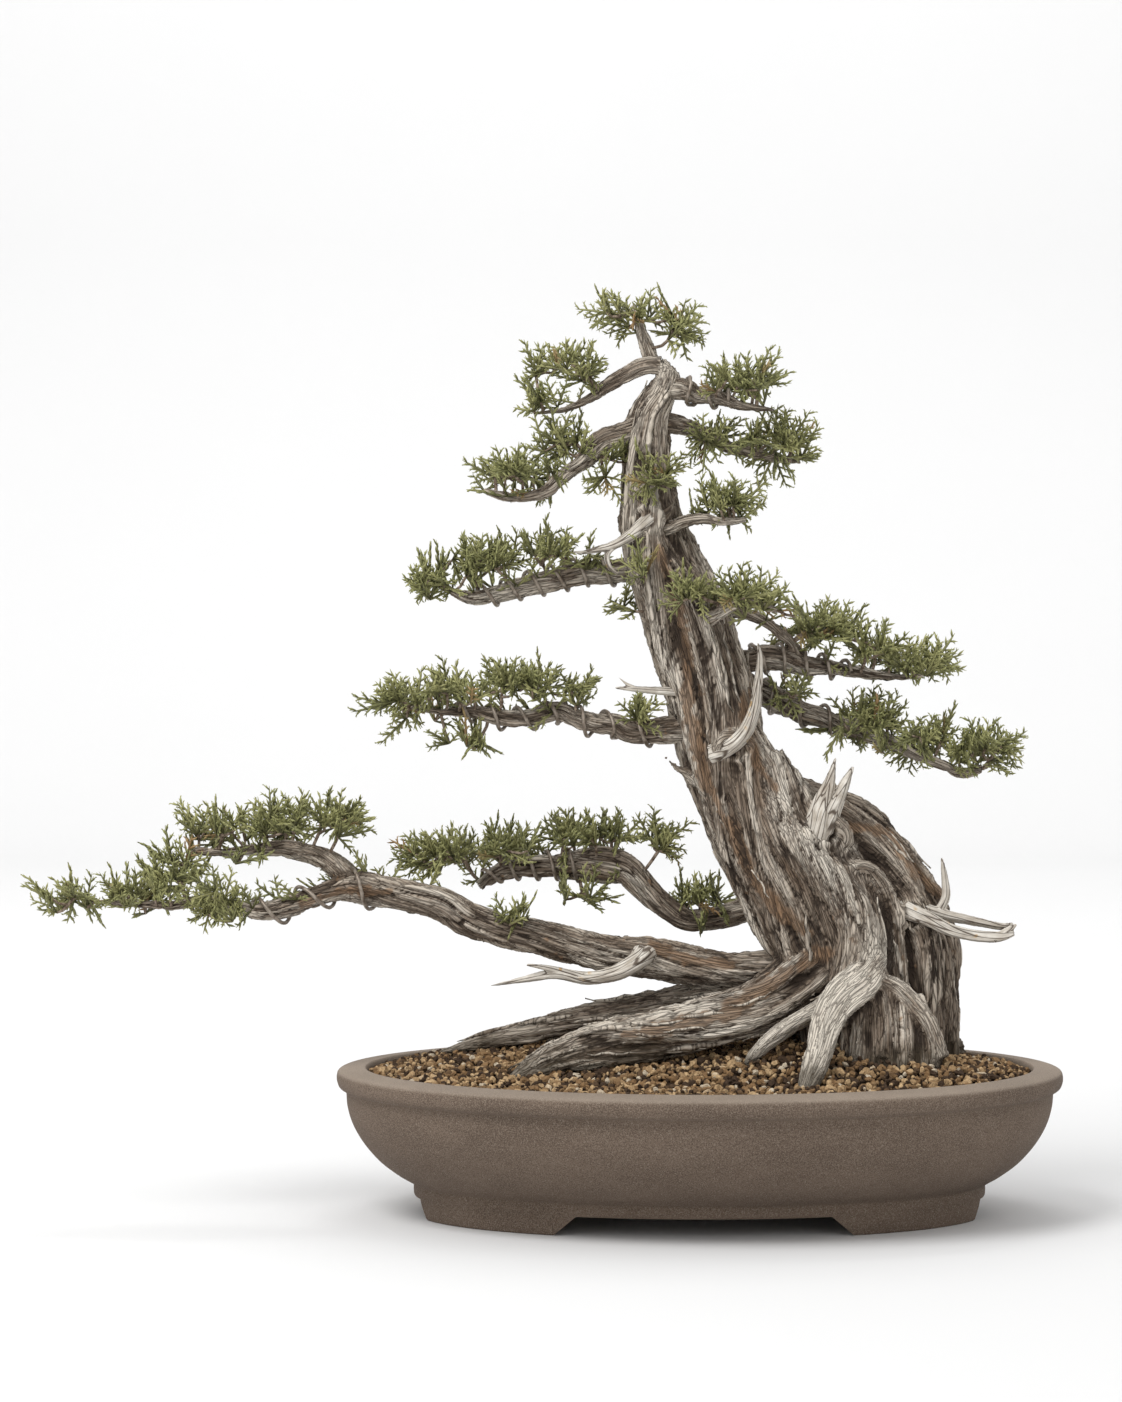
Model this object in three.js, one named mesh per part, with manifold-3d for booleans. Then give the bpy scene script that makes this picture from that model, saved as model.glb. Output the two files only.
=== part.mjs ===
// A juniper bonsai in an oval, unglazed stoneware pot, in millimetres, +Z up.
//
// The design frame has its origin on the ground under the middle of the pot: X runs along the pot,
// Y from front to back, Z up. The tree leans out past the left end of the pot, so at the end the whole
// group is slid along X until the origin is under the middle of the object's box.
import * as THREE from "three";
import { mergeVertices } from "three/addons/utils/BufferGeometryUtils.js";
import Module from "manifold-3d";

const wasm = await Module();
wasm.setup();

// ---- Driving dimensions ---------------------------------------------------------------------------

const POT_LENGTH = 480;
const POT_DEPTH = 350;
const POT_HEIGHT = 98;
const FOOT_HEIGHT = 13;
const FLOOR_TOP = 25;
const POT_SEGMENTS = 36;
const DRAIN_HOLE_RADIUS = 14;
const DRAIN_HOLE_X = 78;
const GAP = 0.4; // clearance between pieces that touch
const GRAVEL_DEPTH = 6;
const SOIL_EDGE = 95; // height of the planting surface where it meets the rim
const SOIL_RISE = 28; // how much it mounds up towards the back of the middle
const WIRE_RADIUS = 1.4;

// ---- Materials ------------------------------------------------------------------------------------

const finish = (color, roughness, metalness = 0) =>
  new THREE.MeshStandardMaterial({ color, roughness, metalness });
const STONEWARE = finish(0x6f6459, 0.85);
const BARK = finish(0x8b8075, 0.9);
const DEADWOOD = finish(0xcac4b6, 0.8);
const FOLIAGE = finish(0x667a4c, 0.75);
const SOIL = finish(0x4a3a2c, 0.95);
const GRANULES = finish(0xa5825a, 0.95);
const WIRE = finish(0x8c7f70, 0.5, 0.6);
const SCREEN = finish(0x22241f, 0.6);

// ---- Solids ---------------------------------------------------------------------------------------

const bonsai = new THREE.Group();

// A closed geometry as a manifold-3d solid, turned right side out.
function solid(geometry) {
  const bare = geometry.clone();
  bare.deleteAttribute("normal");
  bare.deleteAttribute("uv");
  const merged = mergeVertices(bare, 1e-3);
  const triVerts = new Uint32Array(merged.index.array);
  const vertProperties = merged.attributes.position.array;
  const made = new wasm.Manifold(new wasm.Mesh({ numProp: 3, vertProperties, triVerts }));
  if (made.volume() > 0) return made;
  for (let i = 0; i < triVerts.length; i += 3) {
    [triVerts[i + 1], triVerts[i + 2]] = [triVerts[i + 2], triVerts[i + 1]];
  }
  return new wasm.Manifold(new wasm.Mesh({ numProp: 3, vertProperties, triVerts }));
}

// The largest separate body of a solid: a cut can leave slivers behind.
function largest(cut) {
  return cut.decompose().reduce((best, body) => (body.volume() > best.volume() ? body : best));
}

const joined = (solids) => solids.reduce((sum, next) => sum.add(next));

// Adds one named piece to the bonsai.
function piece(name, shape, material) {
  const mesh = largest(shape).getMesh();
  const geometry = new THREE.BufferGeometry();
  const position = new Float32Array(mesh.numVert * 3);
  for (let i = 0; i < mesh.numVert; i += 1) {
    position.set(mesh.vertProperties.subarray(i * mesh.numProp, i * mesh.numProp + 3), i * 3);
  }
  geometry.setAttribute("position", new THREE.BufferAttribute(position, 3));
  geometry.setIndex(new THREE.BufferAttribute(mesh.triVerts, 1));
  geometry.computeVertexNormals();
  const made = new THREE.Mesh(geometry, material);
  made.name = name;
  bonsai.add(made);
}

// ---- Sweeps ---------------------------------------------------------------------------------------

// A smooth centreline through [x, y, z, radius] points, with the radius and a steady normal along it.
class Centreline {
  constructor(points, rings) {
    this.curve = new THREE.CatmullRomCurve3(points.map(([x, y, z]) => new THREE.Vector3(x, y, z)));
    this.radii = points.map(([, , , radius]) => radius);
    this.rings = rings;
    this.normals = [];
    let normal = new THREE.Vector3(0, 1, 0);
    for (let i = 0; i <= rings; i += 1) {
      const tangent = this.curve.getTangent(i / rings);
      normal = normal.clone().addScaledVector(tangent, -normal.dot(tangent)).normalize();
      this.normals.push(normal);
    }
  }

  radius(t) {
    const along = t * (this.radii.length - 1);
    const before = Math.min(Math.floor(along), this.radii.length - 2);
    return THREE.MathUtils.lerp(this.radii[before], this.radii[before + 1], along - before);
  }

  // The point at t along it, turned by angle and set off from it by distance.
  at(t, angle, distance) {
    const tangent = this.curve.getTangent(t);
    const normal = this.normals[Math.round(t * this.rings)].clone();
    normal.addScaledVector(tangent, -normal.dot(tangent)).normalize();
    const side = new THREE.Vector3().crossVectors(tangent, normal);
    return this.curve
      .getPoint(t)
      .addScaledVector(normal, distance * Math.cos(angle))
      .addScaledVector(side, distance * Math.sin(angle));
  }
}

// A closed skin over rings of points, with a fan over each end.
function skin(rings, sides) {
  const position = rings.flat().flatMap((point) => [point.x, point.y, point.z]);
  const index = [];
  for (let i = 0; i + 1 < rings.length; i += 1) {
    for (let k = 0; k < sides; k += 1) {
      const [a, b] = [i * sides + k, i * sides + ((k + 1) % sides)];
      index.push(a, b, a + sides, b, b + sides, a + sides);
    }
  }
  for (const [first, middle] of [[0, rings[0]], [(rings.length - 1) * sides, rings.at(-1)]]) {
    const centre = middle.reduce((sum, point) => sum.add(point), new THREE.Vector3());
    centre.divideScalar(sides);
    position.push(centre.x, centre.y, centre.z);
    const hub = position.length / 3 - 1;
    for (let k = 0; k < sides; k += 1) {
      const [a, b] = [first + k, first + ((k + 1) % sides)];
      index.push(...(first === 0 ? [hub, b, a] : [hub, a, b]));
    }
  }
  const geometry = new THREE.BufferGeometry();
  geometry.setAttribute("position", new THREE.Float32BufferAttribute(position, 3));
  geometry.setIndex(index);
  return solid(geometry);
}

// A tapering limb of wood, with a ring of corners at each of its [x, y, z, radius] points.
// grow makes it that much fatter and longer.
function limb(points, { sides = LIMB_SIDES, grow = 0 } = {}) {
  const count = points.length - 1;
  const line = new Centreline(points, count);
  const rings = [];
  for (let i = 0; i <= count; i += 1) {
    const t = i / count;
    const past = line.curve.getTangent(t).multiplyScalar(i === 0 ? -grow : i === count ? grow : 0);
    const ring = [];
    for (let k = 0; k < sides; k += 1) {
      ring.push(line.at(t, (2 * Math.PI * k) / sides, line.radius(t) + grow).add(past));
    }
    rings.push(ring);
  }
  return skin(rings, sides);
}

const LIMB_SIDES = 6;
const TRUNK_SIDES = 10;
const limbs = (lists, options) => joined(lists.map((points) => limb(points, options)));

// Training wire wound round a limb from one share of its length to another.
function coil(points, { from, to, turns }) {
  const stepsPerTurn = 8;
  const normalsPerSpan = 8;
  const line = new Centreline(points, (points.length - 1) * normalsPerSpan);
  class Winding extends THREE.Curve {
    getPoint(share, target = new THREE.Vector3()) {
      const t = from + (to - from) * share;
      const faceting = 1.1; // the wire's straight steps must clear the limb
      const distance = line.radius(t) * faceting + WIRE_RADIUS + 2 * GAP;
      return target.copy(line.at(t, 2 * Math.PI * turns * share, distance));
    }
  }
  const section = polygon(4, WIRE_RADIUS);
  const steps = Math.round(turns * stepsPerTurn);
  return solid(new THREE.ExtrudeGeometry(section, { steps, extrudePath: new Winding() }));
}

function polygon(corners, radius) {
  const points = [];
  for (let k = 0; k < corners; k += 1) {
    const angle = (2 * Math.PI * k) / corners;
    points.push(new THREE.Vector2(radius * Math.cos(angle), radius * Math.sin(angle)));
  }
  return new THREE.Shape(points);
}

// ---- Oval pieces: pot, soil and gravel ------------------------------------------------------------

// A closed solid whose levels are ellipses [half length, half depth, height or height(x, y)].
function oval(levels) {
  const rings = levels.map(([a, b, height]) => {
    const ring = [];
    for (let k = 0; k < POT_SEGMENTS; k += 1) {
      const angle = (2 * Math.PI * k) / POT_SEGMENTS;
      const [x, y] = [a * Math.cos(angle), b * Math.sin(angle)];
      ring.push(new THREE.Vector3(x, y, typeof height === "function" ? height(x, y) : height));
    }
    return ring;
  });
  return skin(rings, POT_SEGMENTS);
}

// The pot's levels are insets from the rim's outermost line. The front curves in more than the ends.
const INSET_DEPTH_RATIO = 1.2;
const potLevel = ([inset, height]) => [
  POT_LENGTH / 2 - inset,
  POT_DEPTH / 2 - inset * INSET_DEPTH_RATIO,
  height,
];
const POT_OUTSIDE = [
  [120, FOOT_HEIGHT], [53, FOOT_HEIGHT], [51, 14.5], [51, 20.5], [39, 28], [28, 36.5], [18, 48],
  [11, 60], [7, 76], [6.4, 81.5], [1.5, 85.5], [0, 92], [5, 96.2],
];
const POT_INSIDE = [[17.5, POT_HEIGHT], [19.4, 97.2], [20.2, 86], [25, 58], [37, 39], [64, FLOOR_TOP]];

// Four feet: a ring under the pot, with a gap on every side.
function feet() {
  const [insideA, insideB] = [163, 90];
  const ring = oval([
    [188, 113, FOOT_HEIGHT + 1], [188, 113, 9], [187, 111, 0], [insideA, insideB, 0],
  ]).subtract(oval([[insideA, insideB, -1], [insideA, insideB, FOOT_HEIGHT + 2]]));
  // Each gap is a trapezoid, wider at the ground: half widths at its top and bottom, and its reach.
  const notch = (top, bottom, reach) => {
    const outline = new THREE.Shape();
    outline.moveTo(-bottom, -1);
    outline.lineTo(bottom, -1);
    outline.lineTo(top, FOOT_HEIGHT);
    outline.lineTo(-top, FOOT_HEIGHT);
    const cut = new THREE.ExtrudeGeometry(outline, { depth: 2 * reach, bevelEnabled: false });
    return cut.translate(0, 0, -reach).rotateX(Math.PI / 2);
  };
  return ring
    .subtract(solid(notch(82, 97, 200)))
    .subtract(solid(notch(24, 33, 240).rotateZ(Math.PI / 2)));
}

function drainHole(x) {
  const [length, sides] = [2 * FLOOR_TOP, 20];
  const hole = new THREE.CylinderGeometry(DRAIN_HOLE_RADIUS, DRAIN_HOLE_RADIUS, length, sides);
  return solid(hole.rotateX(Math.PI / 2).translate(x, 0, FOOT_HEIGHT));
}

const DRAIN_SIDES = [["left", -DRAIN_HOLE_X], ["right", DRAIN_HOLE_X]];
const potBody = oval([...POT_OUTSIDE, ...POT_INSIDE].map(potLevel)).add(feet());
piece(
  "pot",
  DRAIN_SIDES.reduce((pot, [, x]) => pot.subtract(drainHole(x)), potBody),
  STONEWARE,
);

// A square of plastic mesh over each drain hole, held by a bent wire clip pushed through it.
const SCREEN_SIDE = 44;
const SCREEN_THICKNESS = 1.5;
const SCREEN_PITCH = 14;
const SCREEN_CELL = 11;
const CLIP_RADIUS = 0.7;
const CLIP_LEG_X = 5;

function screen(x) {
  const height = FLOOR_TOP + GAP + SCREEN_THICKNESS / 2;
  const box = (side, thick, dx = 0, dy = 0) =>
    solid(new THREE.BoxGeometry(side, side, thick).translate(x + dx, dy, height));
  let sheet = box(SCREEN_SIDE, SCREEN_THICKNESS);
  for (let row = -1; row <= 1; row += 1) {
    for (let column = -1; column <= 1; column += 1) {
      const cell = box(SCREEN_CELL, 3 * SCREEN_THICKNESS, column * SCREEN_PITCH, row * SCREEN_PITCH);
      sheet = sheet.subtract(cell);
    }
  }
  return sheet;
}

function clip() {
  const top = FLOOR_TOP + SCREEN_THICKNESS + 1.8;
  const under = FOOT_HEIGHT - CLIP_RADIUS - GAP;
  const leg = [[24, 0.9], [13, 0.3], [CLIP_LEG_X + 0.2, 1.2], [CLIP_LEG_X, 4]];
  const half = [
    ...leg.map(([x, above]) => new THREE.Vector3(x, 0, under + above - 0.9)),
    new THREE.Vector3(CLIP_LEG_X, 0, top - 3),
    new THREE.Vector3(CLIP_LEG_X - 1.5, 0, top),
  ];
  const mirrored = half.map((point) => new THREE.Vector3(-point.x, 0, point.z)).reverse();
  const path = new THREE.CatmullRomCurve3([...half, ...mirrored]);
  return new THREE.ExtrudeGeometry(polygon(4, CLIP_RADIUS), { steps: 18, extrudePath: path });
}

for (const [side, x] of DRAIN_SIDES) {
  piece(`drain_screen_${side}`, screen(x), SCREEN);
  piece(`screen_clip_${side}`, solid(clip().translate(x, 0, 0)), WIRE);
}

// Height of the planting surface: level with the rim at the edge, mounded behind the middle and
// heaped against the front of the trunk.
const SURFACE_A = POT_LENGTH / 2 - 19;
const SURFACE_B = POT_DEPTH / 2 - 19;
function surface(x, y) {
  const out = (x / SURFACE_A) ** 2 + (y / SURFACE_B) ** 2;
  const towardsBack = THREE.MathUtils.clamp(0.6 + (0.4 * y) / 80, 0.1, 1);
  const heaped = 14 * Math.exp(-(((x - 110) / 70) ** 2) - ((y + 35) / 45) ** 2);
  return SOIL_EDGE + SOIL_RISE * Math.max(0, 1 - out) * towardsBack + heaped;
}

// ---- Trunk with its roots -------------------------------------------------------------------------

const TRUNK = [
  [102, 2, 90, 38], [100, 0, 120, 36], [98, 0, 145, 35], [91, 0, 175, 37], [74, 0, 208, 39],
  [51, 0, 241, 36], [31, 0, 274, 33], [16, 0, 307, 30], [7, 0, 340, 29], [-5, 0, 373, 28],
  [-16, 0, 406, 27], [-26, 0, 432, 23], [-32, 0, 458, 19], [-34, 0, 485, 16], [-35, 0, 511, 13],
  [-34, 0, 527, 12], [-27, 0, 542, 10], [-22, 0, 554, 8], [-28, 0, 562, 6],
];
const SHOULDER = [
  [30, 6, 290, 18], [66, 8, 262, 24], [99, 9, 247, 25], [123, 10, 222, 25], [139, 10, 199, 25],
  [146, 10, 175, 25], [145, 10, 148, 25], [140, 10, 112, 27], [136, 10, 90, 29],
];
const FRONT_MASS = [
  [38, -4, 300, 20], [52, -8, 272, 25], [68, -10, 246, 28], [85, -12, 222, 28], [99, -14, 200, 26],
  [106, -17, 176, 23], [106, -22, 156, 19],
];
const ROOTS = [
  // the long root that sweeps to the left in front
  [[99, -4, 188, 27], [73, -10, 158, 26], [40, -18, 140, 22], [0, -26, 130, 18], [-33, -34, 124, 16],
    [-66, -40, 119, 14], [-90, -46, 113, 11], [-110, -52, 104, 8], [-124, -56, 95, 4]],
  // a thinner one behind it
  [[60, 10, 160, 16], [30, 12, 148, 13], [0, 14, 140, 11], [-40, 18, 133, 10], [-79, 22, 126, 9.5],
    [-112, 26, 119, 8], [-145, 30, 111, 6], [-172, 33, 102, 3]],
  // the two pale roots that come to the front
  [[112, -34, 166, 9], [101, -44, 154, 12], [89, -56, 144, 11.5], [81, -67, 130, 9.5],
    [76, -78, 115, 8], [71, -90, 103, 7], [66, -99, 93, 5.5], [63, -106, 84, 4]],
  [[92, -34, 146, 9], [80, -41, 141, 7.5], [66, -44, 134, 6.5], [50, -46, 124, 6], [38, -46, 114, 5],
    [28, -46, 104, 3]],
  // the skirt of short roots to the right of them
  [[104, -33, 152, 14], [106, -41, 130, 15], [107, -48, 98, 17]],
  [[121, -32, 150, 14], [124, -41, 128, 15], [126, -48, 98, 17]],
  [[135, -28, 143, 13], [141, -37, 124, 14], [144, -45, 98, 16]],
  // roots that hold the back
  [[110, 14, 140, 28], [104, 46, 120, 18], [98, 76, 110, 10], [94, 98, 99, 4]],
  [[80, 14, 136, 20], [40, 48, 122, 12], [4, 70, 113, 7], [-24, 84, 102, 3]],
  [[140, 18, 124, 24], [160, 36, 112, 13], [178, 46, 100, 5]],
];

const trunkLimbs = (grow) =>
  joined([
    limbs([TRUNK, SHOULDER, FRONT_MASS], { sides: TRUNK_SIDES, grow }),
    limbs(ROOTS, { grow }),
  ]);
const trunk = trunkLimbs(0);
const trunkRoom = trunkLimbs(GAP);
piece("trunk", trunk, BARK);

// ---- Soil and the gravel on it --------------------------------------------------------------------

const bed = (top) => [0.75, 0.4].map((share) => [SURFACE_A * share, SURFACE_B * share, top]);
const WALL_TOP = 20.6;

// The soil fills the pot up to the gravel. grow swells it, as the room that the gravel leaves for it.
function soilBody(grow) {
  const level = (inset, height) => {
    const [a, b] = potLevel([inset, height]);
    return [a - GAP + grow, b - GAP + grow, height];
  };
  const top = (x, y) => surface(x, y) - GRAVEL_DEPTH - GAP + grow;
  return oval([
    level(110, FLOOR_TOP + GAP), level(64.5, FLOOR_TOP + GAP), level(37, 39.8), level(26, 56),
    level(WALL_TOP, 84), level(WALL_TOP, top), ...bed(top),
  ]);
}
const screenRoom = DRAIN_SIDES.map(([, x]) => {
  const room = new THREE.BoxGeometry(SCREEN_SIDE + 1, SCREEN_SIDE + 1, 12);
  return solid(room.translate(x, 0, FLOOR_TOP));
});
piece("soil", soilBody(0).subtract(joined(screenRoom)).subtract(trunkRoom), SOIL);

const [GRAVEL_A, GRAVEL_B] = potLevel([WALL_TOP, 0]).map((size) => size - GAP);
const gravel = oval([[GRAVEL_A, GRAVEL_B, 84], [GRAVEL_A, GRAVEL_B, surface], ...bed(surface)]);
piece("gravel", gravel.subtract(soilBody(GAP)).subtract(trunkRoom), GRANULES);

// ---- Branches -------------------------------------------------------------------------------------

const BRANCHES = {
  low_left: [
    [[66, 6, 165, 14], [33, 6, 161, 13.5], [0, 5, 163, 13.5], [-33, 4, 169, 13.5], [-66, 2, 173, 13],
      [-105, 0, 183, 12.5], [-132, -2, 189, 12], [-154, -3, 196, 12.5], [-171, -4, 206, 11.5],
      [-198, -5, 212, 11], [-224, -5, 217, 12], [-241, -6, 215, 8.6], [-270, -8, 205, 8],
      [-289, -9, 201, 7], [-307, -10, 204, 6], [-330, -10, 208, 4.5], [-353, -11, 205, 3.4],
      [-392, -12, 208, 2.4]],
    [[-224, -5, 218, 9], [-247, 4, 235, 7.5], [-270, 8, 241, 6], [-293, 10, 241, 4.6],
      [-313, 12, 239, 3.4], [-336, 14, 239, 2.4]],
  ],
  back_left: [
    [[51, 24, 208, 8], [21, 34, 196, 7.5], [-5, 36, 192, 7.5], [-22, 36, 201, 8], [-36, 36, 214, 9],
      [-49, 35, 226, 10.5], [-66, 34, 229, 12], [-86, 34, 229, 9], [-109, 34, 228, 7],
      [-132, 34, 225, 6], [-147, 34, 214, 4]],
  ],
  mid_left: [
    [[-2, 0, 322, 9], [-43, -2, 319, 7.5], [-56, -3, 324, 7], [-70, -4, 325, 7], [-84, -5, 329, 6.5],
      [-94, -6, 333, 6.3], [-111, -7, 329, 6.5], [-123, -8, 328, 6.3], [-137, -9, 330, 5.5],
      [-151, -10, 333, 4.5], [-171, -11, 333, 3.2], [-191, -12, 336, 2.2]],
  ],
  upper_left: [
    [[-30, 4, 430, 9], [-61, 3, 425, 8], [-76, 2, 425, 8], [-97, 0, 420, 7.3], [-115, -2, 416, 7],
      [-133, -4, 411, 6], [-151, -6, 408, 5], [-165, -8, 413, 3.4], [-178, -10, 419, 2.2]],
  ],
  crown_left: [
    [[-35, 0, 521, 9], [-49, -2, 516, 8], [-63, -4, 511, 7.5], [-71, -6, 504, 7.5], [-79, -8, 496, 5.2],
      [-89, -9, 489, 4.6], [-99, -10, 480, 4.2], [-111, -11, 475, 3.6], [-127, -12, 474, 2.8],
      [-142, -13, 478, 2]],
  ],
  apex_left: [
    [[-26, 0, 560, 6.5], [-36, -1, 560, 6.4], [-46, -2, 556, 6], [-61, -4, 547, 5.4], [-69, -6, 541, 3.8],
      [-80, -7, 535, 3.2], [-92, -8, 531, 2.6], [-109, -9, 529, 1.8]],
  ],
  apex_top: [[[-31, 2, 560, 5.6], [-36, 3, 574, 5], [-40, 4, 587, 3.4], [-45, 4, 600, 2]]],
  apex_right: [
    [[-26, -3, 546, 7.5], [-10, -6, 545, 7], [-3, -7, 541, 6.2], [5, -8, 540, 5.4], [13, -9, 539, 5.4],
      [23, -10, 535, 4.2], [33, -11, 533, 3.2], [49, -12, 531, 2]],
  ],
  crown_right: [
    [[-30, 4, 524, 7], [-16, 6, 522, 6.4], [-7, 7, 520, 5.6], [2, 8, 516, 4.8], [20, 10, 507, 4.2],
      [32, 11, 504, 3.6], [49, 12, 500, 2.8], [67, 13, 498, 2]],
  ],
  right_mid: [
    [[-33, -6, 448, 6.5], [-19, -17, 454, 5], [-10, -19, 458, 4.4], [2, -20, 460, 3.8],
      [14, -20, 458, 3], [30, -20, 459, 2]],
  ],
  front_right: [
    [[0, -18, 392, 7], [13, -30, 399, 5.4], [22, -34, 404, 4.6], [34, -36, 404, 3.8], [50, -36, 400, 2.4]],
  ],
  upper_right: [
    [[10, 8, 365, 10], [33, 9, 366, 8.6], [41, 10, 368, 9], [55, 10, 367, 8.6], [68, 11, 363, 7.6],
      [82, 12, 362, 6.4], [95, 13, 360, 5.2], [107, 14, 358, 4.3], [120, 15, 356, 3.6],
      [137, 16, 355, 2.8], [155, 17, 358, 2]],
    [[10, 4, 400, 6], [30, 5, 397, 4.4], [44, 6, 391, 4], [53, 7, 384, 3.8], [61, 8, 378, 3.6],
      [67, 10, 368, 3.6]],
  ],
  lower_right: [
    [[10, 12, 358, 10], [30, 18, 351, 8.4], [45, 20, 343, 8.6], [58, 21, 336, 8], [70, 22, 331, 7.2],
      [82, 22, 328, 6.4], [99, 22, 321, 5.8], [129, 20, 311, 5.2], [146, 18, 303, 4.7],
      [162, 17, 297, 4.2], [174, 16, 292, 3.6], [188, 15, 294, 2.4]],
  ],
};

// Bare, bleached stubs of dead branches.
const DEAD_STUBS = {
  deadwood_right: [
    [[132, -4, 202, 6], [142, -14, 199, 6], [157, -17, 193, 6.2], [170, -18, 187, 5.6],
      [186, -17, 184, 4.8], [199, -16, 183, 4.2], [208, -15, 184, 2.4]],
    [[150, -16, 195, 4], [160, -8, 198, 5], [172, -5, 195, 4.8], [188, -4, 191, 4.3],
      [201, -4, 189, 3.7], [207, -4, 190, 2.2]],
    [[164, -6, 196, 4.2], [166, -3, 206, 4.2], [164, -1, 216, 3.6], [161, 0, 228, 1.2]],
  ],
  deadwood_shoulder: [
    [[74, -16, 250, 9], [77, -25, 266, 9], [81, -27, 281, 6.4], [85, -28, 292, 4.2], [88, -29, 302, 1.2]],
    [[78, -24, 258, 7], [87, -28, 275, 5.6], [93, -30, 284, 4], [98, -31, 291, 1.2]],
  ],
  deadwood_middle: [
    [[10, -20, 310, 7], [26, -32, 319, 7], [33, -35, 329, 6.4], [37, -36, 345, 5.2], [38, -36, 362, 3.8],
      [37, -35, 374, 1.2]],
  ],
  deadwood_upper: [
    [[-30, -8, 461, 7], [-38, -20, 455, 5.6], [-47, -22, 447, 4.6], [-56, -21, 443, 3.7],
      [-65, -20, 440, 3], [-73, -19, 438, 2.4], [-81, -18, 438, 1.2]],
    [[-62, -20, 441, 2.6], [-61, -20, 432, 2.6], [-54, -19, 424, 1.4]],
  ],
  deadwood_left_twig: [[[-14, -8, 346, 3.4], [-30, -12, 347, 2.8], [-43, -13, 348, 2.2], [-56, -13, 349, 1.2]]],
};
const LOW_STUB = [
  [[-38, -2, 170, 8], [-42, -14, 167, 7], [-56, -20, 160, 6.6], [-75, -22, 158, 6], [-95, -24, 162, 4.6],
    [-115, -25, 159, 2.8], [-138, -27, 154, 1.2]],
  [[-78, -22, 159, 4.4], [-98, -26, 165, 2.8], [-112, -29, 168, 1.2]],
];

for (const [name, lines] of Object.entries(DEAD_STUBS)) {
  piece(name, limbs(lines).subtract(trunkRoom), DEADWOOD);
}

// Room round each branch for what grows or is wound on it.
const branchRoom = {};
const sleeves = [];
let taken = trunkRoom;
for (const [name, lines] of Object.entries(BRANCHES)) {
  piece(`branch_${name}`, limbs(lines).subtract(taken), BARK);
  branchRoom[name] = limbs(lines, { grow: GAP });
  taken = taken.add(branchRoom[name]);
  const wound = ([x, y, z, radius]) => [x, y, z, 1.3 * radius + 2.4 * WIRE_RADIUS + 4 * GAP];
  sleeves.push(limbs(lines.map((line) => line.map(wound))));
}
piece("deadwood_low", limbs(LOW_STUB).subtract(branchRoom.low_left).subtract(trunkRoom), DEADWOOD);

// ---- Training wire --------------------------------------------------------------------------------

// Where each wire starts and ends, as shares of its branch's length, and how often it goes round.
const COILS = {
  low_left: { from: 0.6, to: 0.8, turns: 3 },
  back_left: { from: 0.66, to: 0.97, turns: 5 },
  mid_left: { from: 0.14, to: 0.86, turns: 7 },
  upper_left: { from: 0.16, to: 0.78, turns: 6 },
  apex_right: { from: 0.18, to: 0.6, turns: 2.5 },
  upper_right: { from: 0.16, to: 0.62, turns: 4.5 },
  lower_right: { from: 0.16, to: 0.55, turns: 3.5 },
};
for (const [name, winding] of Object.entries(COILS)) {
  piece(`wire_${name}`, coil(BRANCHES[name][0], winding).subtract(taken), WIRE);
}

// ---- Foliage --------------------------------------------------------------------------------------

// Each cloud of foliage is a cluster of ellipsoids [x, y, z, half length, half depth, half height].
const CLOUDS = {
  apex: [[-40, 2, 587, 26, 28, 19], [-18, 4, 581, 22, 24, 16], [-62, 0, 604, 16, 10, 6]],
  apex_left: [[-86, -4, 556, 32, 34, 20], [-106, -10, 538, 19, 20, 9]],
  apex_right: [[26, -6, 548, 34, 34, 18]],
  crown_left: [[-118, -8, 487, 34, 36, 16], [-90, -6, 510, 24, 26, 14]],
  crown_left_inner: [[-62, -10, 484, 17, 18, 13]],
  crown_right: [[10, 12, 516, 24, 28, 13], [48, 8, 507, 35, 38, 20]],
  trunk_front: [[-29, -26, 484, 20, 12, 14]],
  right_mid: [[18, -14, 468, 25, 26, 17]],
  upper_left: [[-172, -8, 420, 23, 28, 18], [-140, -6, 431, 34, 34, 17], [-98, -2, 436, 36, 34, 15]],
  upper_left_inner: [[-38, -30, 424, 11, 9, 9]],
  front_right: [[-4, -38, 410, 20, 14, 14], [24, -34, 408, 36, 26, 16]],
  left_tuft: [[-48, -4, 391, 9, 10, 9]],
  upper_right: [[81, 12, 384, 33, 32, 19], [114, 14, 372, 28, 30, 13], [142, 16, 364, 32, 30, 14]],
  mid_left: [[-192, -12, 337, 24, 28, 20], [-158, -8, 345, 30, 34, 16], [-118, -4, 352, 36, 36, 16],
    [-88, -2, 345, 24, 28, 11]],
  mid_left_under: [[-152, -14, 320, 23, 22, 9]],
  mid_left_inner: [[-40, -10, 331, 16, 16, 13]],
  lower_right_tuft: [[57, 14, 350, 21, 22, 11]],
  lower_right: [[112, 20, 321, 33, 34, 19], [150, 18, 311, 30, 32, 18], [183, 16, 303, 33, 32, 18]],
  back_left: [[-163, 34, 233, 39, 36, 18], [-132, 34, 240, 30, 32, 15]],
  back_left_top: [[-72, 34, 249, 38, 32, 13], [-30, 34, 243, 20, 22, 14]],
  back_left_inner: [[1, 36, 203, 34, 28, 16]],
  back_left_under: [[-66, 26, 213, 26, 20, 11]],
  low_left_tip: [[-414, -12, 209, 29, 22, 12], [-378, -10, 212, 26, 24, 14]],
  low_left: [[-350, -8, 219, 30, 32, 18], [-318, -10, 205, 30, 32, 15]],
  low_left_top: [[-314, 10, 251, 36, 34, 19], [-276, 8, 256, 34, 34, 20], [-244, 6, 255, 28, 30, 21]],
  low_left_front: [[-122, -14, 198, 20, 10, 14]],
};

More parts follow.
